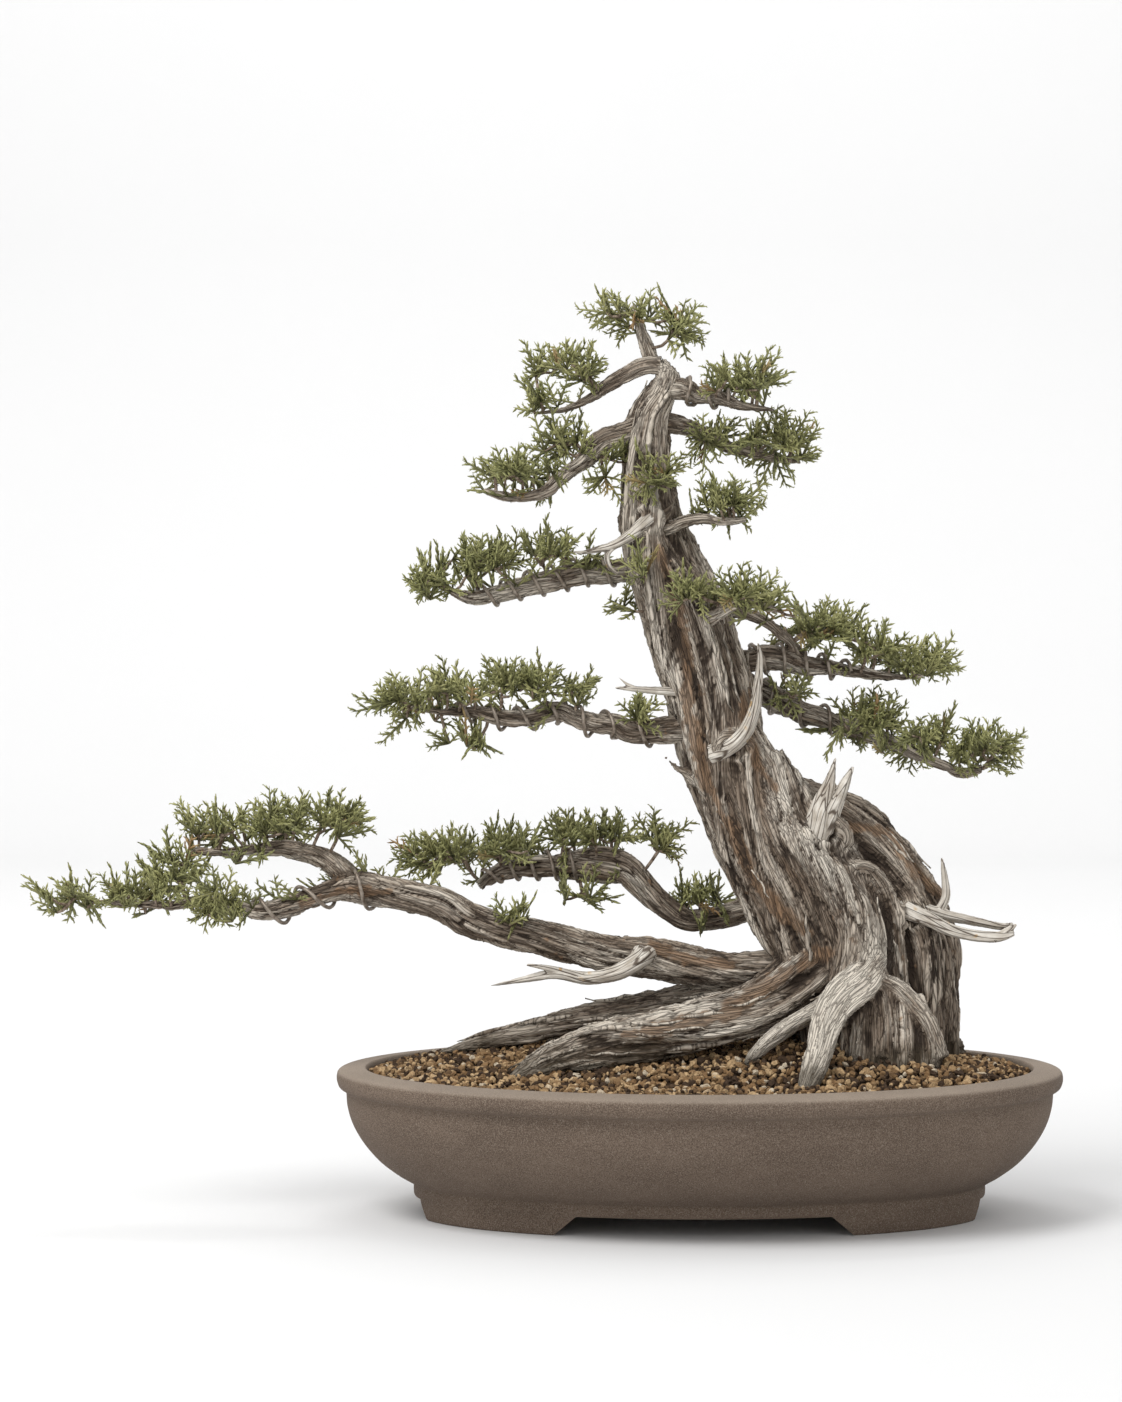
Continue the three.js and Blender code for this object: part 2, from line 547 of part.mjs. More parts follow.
const blob = ([x, y, z, a, b, c], grow) => {
  const ball = new THREE.SphereGeometry(1, 7, 5).rotateX(Math.PI / 2);
  return solid(ball.scale(a + grow, b + grow, c + grow).translate(x, y, z));
};
const cloud = (blobs, grow) => joined(blobs.map((one) => blob(one, grow)));

const deadRoom = joined(
  [...Object.values(DEAD_STUBS), LOW_STUB].map((lines) =>
    limbs(lines, { grow: GAP }),
  ),
);
const woodRoom = joined([trunkRoom, deadRoom, ...sleeves]);
let crowded = woodRoom;
for (const [name, blobs] of Object.entries(CLOUDS)) {
  piece(`foliage_${name}`, cloud(blobs, 0).subtract(crowded), FOLIAGE);
  crowded = crowded.add(cloud(blobs, GAP));
}

// ---- Frame ----------------------------------------------------------------------------------------

const box = new THREE.Box3().setFromObject(bonsai);
bonsai.position.x = -(box.min.x + box.max.x) / 2;

export default bonsai;
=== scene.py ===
"""The looks of a juniper bonsai in an oval stoneware pot: stringy bark, bleached deadwood, scale-leaf
sprays, training wire, clay granules and fired clay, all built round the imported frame."""

import math

import bmesh
import bpy
import numpy as np
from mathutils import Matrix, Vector
from mathutils.bvhtree import BVHTree


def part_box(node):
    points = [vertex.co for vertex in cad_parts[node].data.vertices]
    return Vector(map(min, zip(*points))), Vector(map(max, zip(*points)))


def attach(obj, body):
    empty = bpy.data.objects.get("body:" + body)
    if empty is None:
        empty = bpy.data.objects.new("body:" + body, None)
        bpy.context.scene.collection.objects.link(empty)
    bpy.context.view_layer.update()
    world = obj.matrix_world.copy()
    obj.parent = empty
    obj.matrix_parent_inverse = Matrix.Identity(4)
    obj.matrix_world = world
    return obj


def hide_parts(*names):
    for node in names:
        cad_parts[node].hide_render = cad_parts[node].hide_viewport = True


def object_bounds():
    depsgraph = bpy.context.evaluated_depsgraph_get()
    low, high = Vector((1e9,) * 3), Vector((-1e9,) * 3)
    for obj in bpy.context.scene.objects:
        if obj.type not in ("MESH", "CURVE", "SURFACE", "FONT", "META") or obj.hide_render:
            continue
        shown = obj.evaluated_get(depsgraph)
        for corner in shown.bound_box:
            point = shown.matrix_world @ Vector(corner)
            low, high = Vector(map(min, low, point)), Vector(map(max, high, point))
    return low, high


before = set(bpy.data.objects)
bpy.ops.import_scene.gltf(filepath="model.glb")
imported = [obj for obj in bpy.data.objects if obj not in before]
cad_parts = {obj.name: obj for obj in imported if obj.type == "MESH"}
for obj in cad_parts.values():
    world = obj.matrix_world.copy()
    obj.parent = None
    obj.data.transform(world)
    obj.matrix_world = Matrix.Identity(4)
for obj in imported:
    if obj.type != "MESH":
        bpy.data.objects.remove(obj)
cad_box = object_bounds()

# ---- Trunk and roots -------------------------------------------------------------------------------
# One piece of living wood: the main stem, the shoulder behind it and a broad mass in front twist
# together and run down into the roots. Its bark is grey fibrous strips with dark brown between them,
# rust-coloured where it has rubbed off. Routes are [x, y, z, radius] in mm from the pot's middle.

MM = 0.001
pot_box = np.array([tuple(corner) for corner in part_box("pot")])
POT_MIDDLE = np.array([pot_box[:, 0].mean(), pot_box[:, 1].mean(), pot_box[0, 2]])


def mesh_piece(name, points, faces, material, smooth=True, **attributes):
    """An object from points and equal-sided faces, with values named per point or per face corner."""
    mesh = bpy.data.meshes.new(name)
    count, sides = faces.shape
    mesh.vertices.add(len(points))
    mesh.vertices.foreach_set("co", np.ascontiguousarray(points, dtype=np.float32).ravel())
    mesh.loops.add(count * sides)
    mesh.loops.foreach_set("vertex_index", faces.astype(np.int32).ravel())
    mesh.polygons.add(count)
    mesh.polygons.foreach_set("loop_start", np.arange(0, count * sides, sides, dtype=np.int32))
    mesh.polygons.foreach_set("use_smooth", np.full(count, smooth))
    mesh.update(calc_edges=True)
    mesh.materials.append(material)
    paint_mesh(mesh, **attributes)
    return placed(name, mesh)


def placed(name, data):
    made = bpy.data.objects.new(name, data)
    bpy.context.collection.objects.link(made)
    return made


def paint_mesh(mesh, **attributes):
    for key, values in attributes.items():
        kind = "FLOAT_VECTOR" if values.ndim == 2 else "FLOAT"
        domain = "POINT" if len(values) == len(mesh.vertices) else "CORNER"
        layer = mesh.attributes.new(key, kind, domain)
        layer.data.foreach_set("vector" if kind == "FLOAT_VECTOR" else "value",
                               np.ascontiguousarray(values, dtype=np.float32).ravel())


def belongs(piece, slot, *nodes):
    """The piece rides on the part's one body and stands for those nodes, which it hides. The slot is not
    used.
    """
    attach(piece, "root")
    if nodes:
        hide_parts(*nodes)


def scramble(cell, seed):
    """A fixed random number from 0 to 1 for each row of whole numbers."""
    mixed = cell[:, 0] * 374761393 + cell[:, 1] * 668265263 + cell[:, 2] * 2147483647 + seed * 974711
    mixed = ((mixed ^ (mixed >> 13)) * 1274126177) & 0xFFFFFFFF
    mixed = ((mixed ^ (mixed >> 15)) * 2246822519) & 0xFFFFFFFF
    return ((mixed ^ (mixed >> 16)) & 0xFFFFFF) / 0xFFFFFF


def unit(vectors):
    return vectors / np.maximum(np.linalg.norm(vectors, axis=-1, keepdims=True), 1e-9)


def smooth_step(value, low, high):
    share = np.clip((value - low) / (high - low), 0, 1)
    return share * share * (3 - 2 * share)


def noise(points, seed=0):
    """Smooth noise from -1 to 1 on a lattice one unit wide."""
    cell = np.floor(points).astype(np.int64)
    inside = points - cell
    inside = inside * inside * (3 - 2 * inside)
    total = np.zeros(len(points))
    for corner in np.ndindex(2, 2, 2):
        weight = np.prod(np.where(corner, inside, 1 - inside), axis=1)
        total += weight * scramble(cell + corner, seed)
    return total * 2 - 1


def plates(points, seed=0):
    """How far each point is inside its own cell, 0 at the edge, and the cell's own random number."""
    cell = np.floor(points).astype(np.int64)
    nearest = np.full(len(points), 9.0)
    second = nearest.copy()
    own = np.zeros(len(points))
    for step in np.ndindex(3, 3, 3):
        around = cell + np.array(step) - 1
        jitter = np.stack([scramble(around, seed + axis) for axis in (1, 2, 3)], axis=1)
        away = np.linalg.norm(around + jitter - points, axis=1)
        closer = away < nearest
        second = np.where(closer, nearest, np.minimum(second, away))
        own = np.where(closer, scramble(around, seed + 9), own)
        nearest = np.where(closer, away, nearest)
    return second - nearest, own


def curve(route, counts):
    """Rows on a smooth curve that meets every row of the route, with so many steps for each span."""
    rows = np.array(route, dtype=float)
    counts = np.broadcast_to(counts, len(rows) - 1)
    rows = np.vstack([2 * rows[0] - rows[1], rows, 2 * rows[-1] - rows[-2]])
    line = []
    for a, b, c, d, steps in zip(rows, rows[1:], rows[2:], rows[3:], counts):
        for t in np.arange(steps) / steps:
            line.append(0.5 * (2 * b + (c - a) * t + (2 * a - 5 * b + 4 * c - d) * t**2
                               + (3 * b - a - 3 * c + d) * t**3))
    return np.vstack([line, rows[-2]])


def carried(line, normal):
    """Along a line: its direction, and a normal and a side that follow it without twisting."""
    tangents = np.gradient(line, axis=0)
    tangents /= np.linalg.norm(tangents, axis=1)[:, None]
    normals = np.zeros_like(line)
    for i, tangent in enumerate(tangents):
        normal = normal - tangent * normal.dot(tangent)
        normal /= np.linalg.norm(normal)
        normals[i] = normal
    return tangents, normals, np.cross(tangents, normals)


class Limb:
    """A length of wood along a route. Its grain twists by so many radians per metre."""

    def __init__(self, route, twist=0.0, pale=0.0, live=0.0, step=2.5):
        rows = np.array(route, dtype=float)[:, :3]
        counts = [max(2, round(np.linalg.norm(b - a) / step)) for a, b in zip(rows, rows[1:])]
        line = curve(route, counts)
        self.points = line[:, :3] * MM + POT_MIDDLE
        self.radii = np.maximum(line[:, 3], 0.3) * MM
        self.tangents, self.normals, self.sides = carried(self.points, np.array([0.0, 1.0, 0.0]))
        steps = np.linalg.norm(np.diff(self.points, axis=0), axis=1)
        self.run = np.concatenate([[0], np.cumsum(steps)])
        self.twist, self.pale, self.live = twist, pale, live
        self.size = float(np.clip((self.radii.max() / MM / 24) ** 0.6, 0.34, 1.0))
        self.core = 1.0

    def tube(self, sides, seed, lobing=0.1):
        """A lobed closed tube: its points and triangles."""
        angles = 2 * np.pi * np.arange(sides) / sides
        turned = angles[None, :] + self.twist * self.run[:, None]
        lobes = (np.cos(3 * turned + seed) + 0.6 * np.cos(5 * turned + 2 * seed)) * lobing
        radius = self.radii[:, None] * (1 + lobes) * self.core
        ring = (self.points[:, None]
                + (radius * np.cos(angles))[..., None] * self.normals[:, None]
                + (radius * np.sin(angles))[..., None] * self.sides[:, None])
        return skin(ring)

    def flow(self, points):
        """Each point's height over this limb's surface, and where it lies: across, across and along."""
        nearest = np.concatenate([
            ((chunk[:, None] - self.points[None]) ** 2).sum(2).argmin(1)
            for chunk in np.array_split(points, max(1, len(points) // 20000))
        ])
        away = points - self.points[nearest]
        u = (away * self.normals[nearest]).sum(1)
        v = (away * self.sides[nearest]).sum(1)
        run = self.run[nearest] + (away * self.tangents[nearest]).sum(1)
        over = np.hypot(u, v) - self.radii[nearest]
        beyond = np.maximum(0, np.linalg.norm(away, axis=1) - np.hypot(u, v) - 2 * MM)
        turn = -self.twist * run
        first = u * np.cos(turn) - v * np.sin(turn)
        second = u * np.sin(turn) + v * np.cos(turn)
        return over + beyond, np.stack([first, second, run], 1)


def skin(rings, closed=False):
    """Points and triangles of a skin over rings: closed on itself, or with a fan over each end."""
    count, sides = rings.shape[:2]
    k = np.arange(sides)
    after = (k + 1) % sides
    faces = []
    for i in range(count if closed else count - 1):
        a, b = i * sides, (i + 1) % count * sides
        faces += [np.stack([a + k, a + after, b + k], 1), np.stack([a + after, b + after, b + k], 1)]
    if closed:
        return rings.reshape(-1, 3), np.vstack(faces)
    hubs = count * sides
    faces.append(np.stack([np.full(sides, hubs), after, k], 1))
    last = (count - 1) * sides
    faces.append(np.stack([np.full(sides, hubs + 1), last + k, last + after], 1))
    points = np.vstack([rings.reshape(-1, 3), rings[0].mean(0), rings[-1].mean(0)])
    return points, np.vstack(faces)


def stacked(parts):
    """Several (points, faces) as one."""
    starts = np.cumsum([0] + [len(points) for points, _ in parts[:-1]])
    return (np.vstack([points for points, _ in parts]),
            np.vstack([faces + start for start, (_, faces) in zip(starts, parts)]))


def melted(name, points, faces, voxel, smoothing):
    """One even, smoothed surface round all the tubes together: its points, quads and normals."""
    rough = mesh_piece(name, points, faces, None)
    remesh = rough.modifiers.new("remesh", "REMESH")
    remesh.mode = "VOXEL"
    remesh.voxel_size = voxel
    soften = rough.modifiers.new("soften", "SMOOTH")
    soften.factor = 0.5
    soften.iterations = smoothing
    solved = rough.evaluated_get(bpy.context.evaluated_depsgraph_get()).to_mesh()
    out = np.empty(len(solved.vertices) * 3)
    solved.vertices.foreach_get("co", out)
    normals = np.empty(len(solved.vertices) * 3)
    solved.vertex_normals.foreach_get("vector", normals)
    loops = np.empty(len(solved.loops), dtype=np.int32)
    solved.loops.foreach_get("vertex_index", loops)
    old = rough.data
    bpy.data.objects.remove(rough)
    bpy.data.meshes.remove(old)
    return out.reshape(-1, 3), loops.reshape(-1, 4), normals.reshape(-1, 3)


# a strip of the trunk's bark: its two widths and its length in mm
STRIP = np.array([6.4, 6.4, 52])


def relief(where, size, seed):
    """Stringy bark: slow swelling and local height in mm, and each strip's tone. where is in limb mm."""
    wander = np.stack([noise(where / (15, 15, 60), seed + number) for number in (21, 22)], 1)
    where = where.copy()
    where[:, :2] += wander * 4.5 * size
    flutes = noise(where / (18 * size, 18 * size, 170), seed)
    inside, own = plates(where / (STRIP * size), seed + 30)
    fine_inside, fine_own = plates(where / (STRIP / 2 * size), seed + 60)
    furrow = 1 - smooth_step(inside, 0.0, 0.26)
    crack = 1 - smooth_step(fine_inside, 0.0, 0.3)
    local = 2.6 * (own - 0.5) - 2.1 * furrow + 1.3 * (fine_own - 0.5) - 0.9 * crack
    return 2.6 * flutes * size, local * size, own * 0.6 + fine_own * 0.4


def strands(limb, count, random, reach=0.76, width=0.35):
    """Muscle-like strands that wind round a limb and merge into it, as limbs of their own."""
    made = []
    limb.core = 0.88
    for k in range(count):
        angle = 2 * np.pi * (k + random.uniform(-0.3, 0.3)) / count
        turn = angle + limb.twist * limb.run + 0.5 * np.sin(limb.run * random.uniform(14, 24) + k)
        thick = width * random.uniform(0.75, 1.2) * (1 + 0.2 * np.sin(limb.run * 31 + 2 * k))
        out = np.cos(turn)[:, None] * limb.normals + np.sin(turn)[:, None] * limb.sides
        line = limb.points + out * (limb.radii * reach)[:, None]
        rows = np.column_stack([(line - POT_MIDDLE) / MM, limb.radii / MM * thick])
        made.append(Limb(rows[::6], twist=limb.twist, pale=limb.pale, live=limb.live))
        made[-1].size = limb.size
    return made


# Where the live vein shows rust-brown on the front: [x, z] lines in mm, and their half width.
VEINS = [
    ([[-26, 440], [-14, 400], [-9, 365], [-7, 329], [6, 283], [19, 254], [34, 222], [53, 201],
      [68, 190]], 4.5),
    ([[82, 176], [61, 167], [40, 152], [14, 137], [-14, 130], [-50, 124]], 5.5),
    ([[100, 258], [125, 254], [139, 233], [157, 212]], 3.5),
    ([[-262, 207], [-231, 216], [-205, 214]], 4.0),
    ([[-32, 178], [-10, 170], [20, 166]], 4.0),
    ([[33, 352], [28, 330], [36, 300], [50, 282]], 3.0),
]


def vein_share(points, normals):
    """1 in the middle of a vein, falling to 0 at its ragged edges."""
    flat = (points - POT_MIDDLE)[:, [0, 2]] / MM
    share = np.zeros(len(points))
    ragged = 0.8 + 0.7 * noise(points / (10 * MM, 10 * MM, 17 * MM), 71)
    ragged += 0.5 * noise(points / (3 * MM), 72)
    for line, half in VEINS:
        for a, b in zip(np.array(line), np.array(line)[1:]):
            along = np.clip(((flat - a) @ (b - a)) / ((b - a) @ (b - a)), 0, 1)
            away = np.linalg.norm(flat - a - along[:, None] * (b - a), axis=1)
            share = np.maximum(share, 1 - smooth_step(away / (half * ragged), 0.75, 1.15))
    return share * smooth_step(-normals[:, 1], -0.1, 0.2)


def hollows(points, faces, normals, rounds=45):
    """How far each point stands out of (or, below 0, lies in) its smoothed surroundings, in mm."""
    edges = np.vstack([faces[:, [k, (k + 1) % 4]] for k in range(4)])
    a, b = np.unique(np.sort(edges, axis=1), axis=0).T
    count = len(points)
    degree = np.bincount(a, minlength=count) + np.bincount(b, minlength=count)
    smooth = points.copy()
    for _ in range(rounds):
        total = np.stack([np.bincount(a, smooth[b, k], count) + np.bincount(b, smooth[a, k], count)
                          for k in range(3)], axis=1)
        smooth = 0.3 * smooth + 0.7 * total / degree[:, None]
    return ((points - smooth) * normals).sum(1) / MM


BLEND_WIDTH, BLEND_REACH = 1.6 * MM, 6 * MM


def wood(name, limbs, voxel, sides, seed, material, knots=(), grain=1.0, lobing=0.1, smoothing=5):
    """One piece of wood: its limbs melted together, then bark raised along each limb's own flow."""
    tubes = [limb.tube(sides, seed + 1.7 * i, lobing) for i, limb in enumerate(limbs)]
    points, faces, normals = melted(name, *stacked(tubes), voxel, smoothing)
    over = np.empty((len(limbs), len(points)))
    flows = np.empty((len(limbs), len(points), 3))
    for i, limb in enumerate(limbs):
        over[i], flows[i] = limb.flow(points)
    near = over - over.min(0)
    weights = np.exp(-near / BLEND_WIDTH)
    weights[near > BLEND_REACH] = 0
    weights /= weights.sum(0)
    swell = np.zeros(len(points))
    local, strip, live, pale = swell.copy(), swell.copy(), swell.copy(), swell.copy()
    for i, limb in enumerate(limbs):
        on = weights[i] > 0
        where = flows[i][on] / MM
        slow, quick, own = relief(where, limb.size, seed + 101 * i)
        share = weights[i][on]
        swell[on] += share * slow * grain
        local[on] += share * quick * grain * (1 - 0.45 * min(1, max(0, limb.pale)))
        strip[on] += share * own
        patch = noise(where / (11, 11, 75), seed + 101 * i + 5)
        live[on] += share * smooth_step(patch + limb.live, 0.66, 0.84)
        bleached = noise(where / (9, 9, 60), seed + 101 * i + 6)
        pale[on] += share * np.clip(limb.pale + 0.5 * bleached, 0, 1)
    for x, y, z, reach in knots:
        away = np.linalg.norm(points - (np.array([x, y, z]) * MM + POT_MIDDLE), axis=1) / (reach * MM)
        swell += 3.2 * np.exp(-(((away - 1.15) / 0.33) ** 2))
        swell += 0.9 * np.cos(away * 11) * np.exp(-away**2 / 4)
    live = np.maximum(live * 0.6, vein_share(points, normals))
    local *= 1 - 0.6 * live
    points = points + normals * (swell * MM)[:, None]
    # How far each point stands out or lies in a hollow; the bark paints shade into the hollows from it.
    hollow = hollows(points, faces, normals)
    points = points + normals * (local * MM)[:, None]
    owner = near[:, faces].mean(2).argmin(0)
    corner_flow = flows[np.repeat(owner, 4), faces.ravel()]
    return mesh_piece(name, points, faces, material, height=np.clip(0.6 + local / (6 * grain), 0, 1),
                      strip=strip, live=live, pale=pale, flow=corner_flow,
                      hollow=np.clip(0.5 + hollow / 5, 0, 1))


class Value:
    """A shader socket that a material reads as arithmetic."""

    def __init__(self, paint, socket):
        self.paint, self.socket = paint, socket

    def math(self, operation, *others):
        return self.paint.node("ShaderNodeMath", self, *others, operation=operation).out()

    def __add__(self, other):
        return self.math("ADD", other)

    def __sub__(self, other):
        return self.math("SUBTRACT", other)

    def __mul__(self, other):
        return self.math("MULTIPLY", other)

    __radd__ = __add__
    __rmul__ = __mul__

    def ramp(self, low, high, start=0.0, end=1.0):
        """start below low, end above high, and a smooth step between."""
        made = self.paint.node("ShaderNodeMapRange", self, low, high, start, end,
                               interpolation_type="SMOOTHSTEP")
        return made.out()

    def stretched(self, *scale):
        """A vector, scaled along each of its axes."""
        made = self.paint.node("ShaderNodeVectorMath", self, scale, operation="MULTIPLY")
        return made.out()


class Node:
    def __init__(self, paint, node):
        self.paint, self.node = paint, node

    def out(self, name=0):
        return Value(self.paint, self.node.outputs[name])


class Paint:
    """A material with one Principled shader. Colours are linear red, green and blue."""

    def __init__(self, name, roughness=0.8, metallic=0.0, specular=0.3):
        self.material = bpy.data.materials.new(name)
        self.material.use_nodes = True
        self.tree = self.material.node_tree
        self.shader = self.tree.nodes["Principled BSDF"]
        self.shader.inputs["Roughness"].default_value = roughness
        self.shader.inputs["Metallic"].default_value = metallic
        self.shader.inputs["Specular IOR Level"].default_value = specular

    def plug(self, target, value):
        if isinstance(value, Value):
            self.tree.links.new(value.socket, target)
        elif value is not None:
            target.default_value = value

    def node(self, kind, *inputs, **settings):
        made = self.tree.nodes.new(kind)
        for key, setting in settings.items():
            setattr(made, key, setting)
        for target, value in zip(made.inputs, inputs):
            self.plug(target, value)
        return Node(self, made)

    def attribute(self, name, output="Fac"):
        return self.node("ShaderNodeAttribute", attribute_name=name).out(output)

    def position(self):
        return self.node("ShaderNodeNewGeometry").out("Position")

    def level(self):
        return self.node("ShaderNodeSeparateXYZ", self.position()).out("Z")

    def noise(self, where, scale, detail=3.0, roughness=0.55):
        made = self.node("ShaderNodeTexNoise", where, noise_dimensions="3D")
        for key, value in (("Scale", scale), ("Detail", detail), ("Roughness", roughness)):
            made.node.inputs[key].default_value = value
        return made.out("Fac")

    def cells(self, where, scale):
        """How far each place is from the edge of its own cell."""
        made = self.node("ShaderNodeTexVoronoi", where, feature="DISTANCE_TO_EDGE")
        made.node.inputs["Scale"].default_value = scale
        return made.out("Distance")

    def mix(self, share, first, second):
        made = self.tree.nodes.new("ShaderNodeMix")
        made.data_type = "RGBA"
        slots = [socket for socket in made.inputs if socket.enabled]
        for socket, value in zip(slots, (share, first, second)):
            self.plug(socket, (*value, 1.0) if isinstance(value, tuple) else value)
        return Value(self, next(socket for socket in made.outputs if socket.enabled))

    def finish(self, colour, roughness=None, bump=None, depth=0.5 * MM):
        self.plug(self.shader.inputs["Base Color"], colour)
        self.plug(self.shader.inputs["Roughness"], roughness)
        if bump is not None:
            made = self.tree.nodes.new("ShaderNodeBump")
            made.inputs["Distance"].default_value = depth
            made.inputs["Strength"].default_value = 1.0
            self.plug(made.inputs["Height"], bump)
            self.tree.links.new(made.outputs["Normal"], self.shader.inputs["Normal"])
        return self.material


bark = Paint("juniper_bark", roughness=0.85)
flow = bark.attribute("flow", "Vector")
fibre = bark.noise(flow.stretched(1, 1, 0.05), 900, detail=4, roughness=0.65)
splits = bark.cells(flow.stretched(1, 1, 0.06), 260).ramp(0.0, 0.07, 0.25, 1.0)
checks = bark.cells(flow.stretched(1, 1, 0.09), 520).ramp(0.0, 0.12) * splits
blotch = bark.noise(bark.position(), 38, detail=3)
ridge = bark.attribute("height")
strip = bark.attribute("strip")
hollow = bark.attribute("hollow")
# Lighter on raised strips and swells, partly their weathered grey and partly painted light, and darker
# in hollows as painted shade; strip tone, fibres and blotches vary it too.
light = (strip * 0.5 + fibre * 0.9 + blotch * 0.7 + ridge * 0.5 + hollow * 0.7).ramp(1.25, 2.1)
brown = bark.mix(light, (0.14, 0.102, 0.072), (0.4, 0.33, 0.26))
silver = bark.mix((light * 0.8 + bark.attribute("pale") * 0.9).ramp(0.4, 1.45), brown,
                  (0.68, 0.62, 0.53))
rust = bark.mix(fibre.ramp(0.3, 0.75), (0.12, 0.068, 0.036), (0.34, 0.2, 0.105))
tinted = bark.mix(bark.attribute("live") * 0.75, silver, rust)
# Near-black in the fine checks, which are real cracks, and painted shade low in the furrows between
# strips and in hollows.
uncracked_unshaded = ridge.ramp(0.06, 0.5) * checks.ramp(0.0, 1.0, 0.35, 1.0) * hollow.ramp(0.05, 0.42, 0.15, 1.0)
cracked_and_shaded = bark.mix(uncracked_unshaded.ramp(0.0, 0.85), (0.038, 0.026, 0.018), tinted)
# The bark turns dark brown below about 12 to 14 cm above the pot's base, by height alone.
darker_low_down = (bark.level() + blotch * 0.03).ramp(POT_MIDDLE[2] + 0.118, POT_MIDDLE[2] + 0.138, 0.75, 0.0)
bark_material = bark.finish(bark.mix(darker_low_down, cracked_and_shaded, (0.075, 0.058, 0.036)),
                            bump=fibre * 0.6 + checks * 0.8, depth=1.0 * MM)

TRUNK = [
    Limb([[102, 2, 90, 34], [101, 0, 120, 33], [98, 0, 145, 33], [91, 0, 175, 36], [74, 0, 208, 38],
          [51, 0, 241, 35], [31, 0, 274, 31], [17, 0, 307, 28], [7, 0, 340, 26], [-5, 0, 373, 26],
          [-16, 0, 406, 26], [-26, 0, 432, 23], [-32, 0, 458, 20], [-34, 0, 485, 17.5],
          [-35, 0, 511, 15.5], [-34, 0, 527, 14.5], [-27, 0, 542, 12], [-22, 0, 554, 9],
          [-28, 0, 562, 6]], twist=5.0, pale=0.2),
    Limb([[30, 6, 290, 18], [66, 8, 262, 24], [99, 9, 247, 25], [123, 10, 222, 25], [139, 10, 199, 25],
          [146, 10, 175, 25], [145, 10, 148, 25], [140, 10, 112, 27], [136, 10, 90, 29]],
         twist=-6.0, pale=-0.1),
    # the broad mass that runs from the stem over the front of the base
    Limb([[38, -4, 300, 20], [52, -8, 272, 25], [68, -10, 246, 28], [85, -12, 222, 28],
          [99, -14, 200, 26], [106, -17, 176, 23], [106, -22, 156, 19]], twist=9.0, pale=0.65),
    # nested folds that curl round the dead stub on the shoulder, and down
    *[Limb([[60 - 4 * k, -23, 258 - 9 * k, 5], [74 - 3 * k, -26, 238 - 7 * k, 5.5],
            [92 - 3 * k, -27, 231 - 8 * k, 5.5], [108 - 4 * k, -25, 232 - 9 * k, 5.5],
            [120 - 5 * k, -20, 221 - 8 * k, 5.2], [128 - 6 * k, -17, 202 - 6 * k, 5],
            [132 - 6 * k, -17, 178, 4.5], [134 - 6 * k, -19, 150, 4]], twist=9.0, pale=0.1 + 0.12 * k)
      for k in range(3)],
    # two rings of callus round old wounds
    Limb([[80 + 16 * math.sin(a), -24 - 2 * math.cos(a), 251 + 12 * math.cos(a), 5.0]
          for a in np.linspace(-2.6, 3.4, 14)], twist=9.0, pale=0.1),
    Limb([[20 + 10 * math.sin(a), -25 - 2 * math.cos(a), 306 + 12 * math.cos(a), 4.5]
          for a in np.linspace(-2.8, 3.3, 12)], twist=9.0, pale=0.2),
    # a torn spur on the left edge
    Limb([[4, -4, 284, 7], [-8, -6, 291, 4.5], [-17, -7, 297, 2.6], [-23, -8, 303, 0.8]], pale=0.1),
    # the ridge along the outside of the shoulder
    Limb([[50, -6, 284, 9], [70, -8, 276, 9], [92, -8, 266, 9], [112, -8, 252, 9], [130, -6, 234, 8],
          [146, -4, 208, 7], [156, -4, 180, 7]], twist=9.0, pale=0.05),
    # three strands that wind round the stem under the apex
    *[Limb([[-33 + 3 * t**4 + (17 - 8 * t) * math.cos(5.5 * t + start),
             (17 - 8 * t) * math.sin(5.5 * t + start), 452 + 86 * t, 6 - 3.5 * t]
            for t in np.linspace(0, 1, 16)], twist=40.0, pale=0.1) for start in (0.4, 2.5, 4.6)],
]
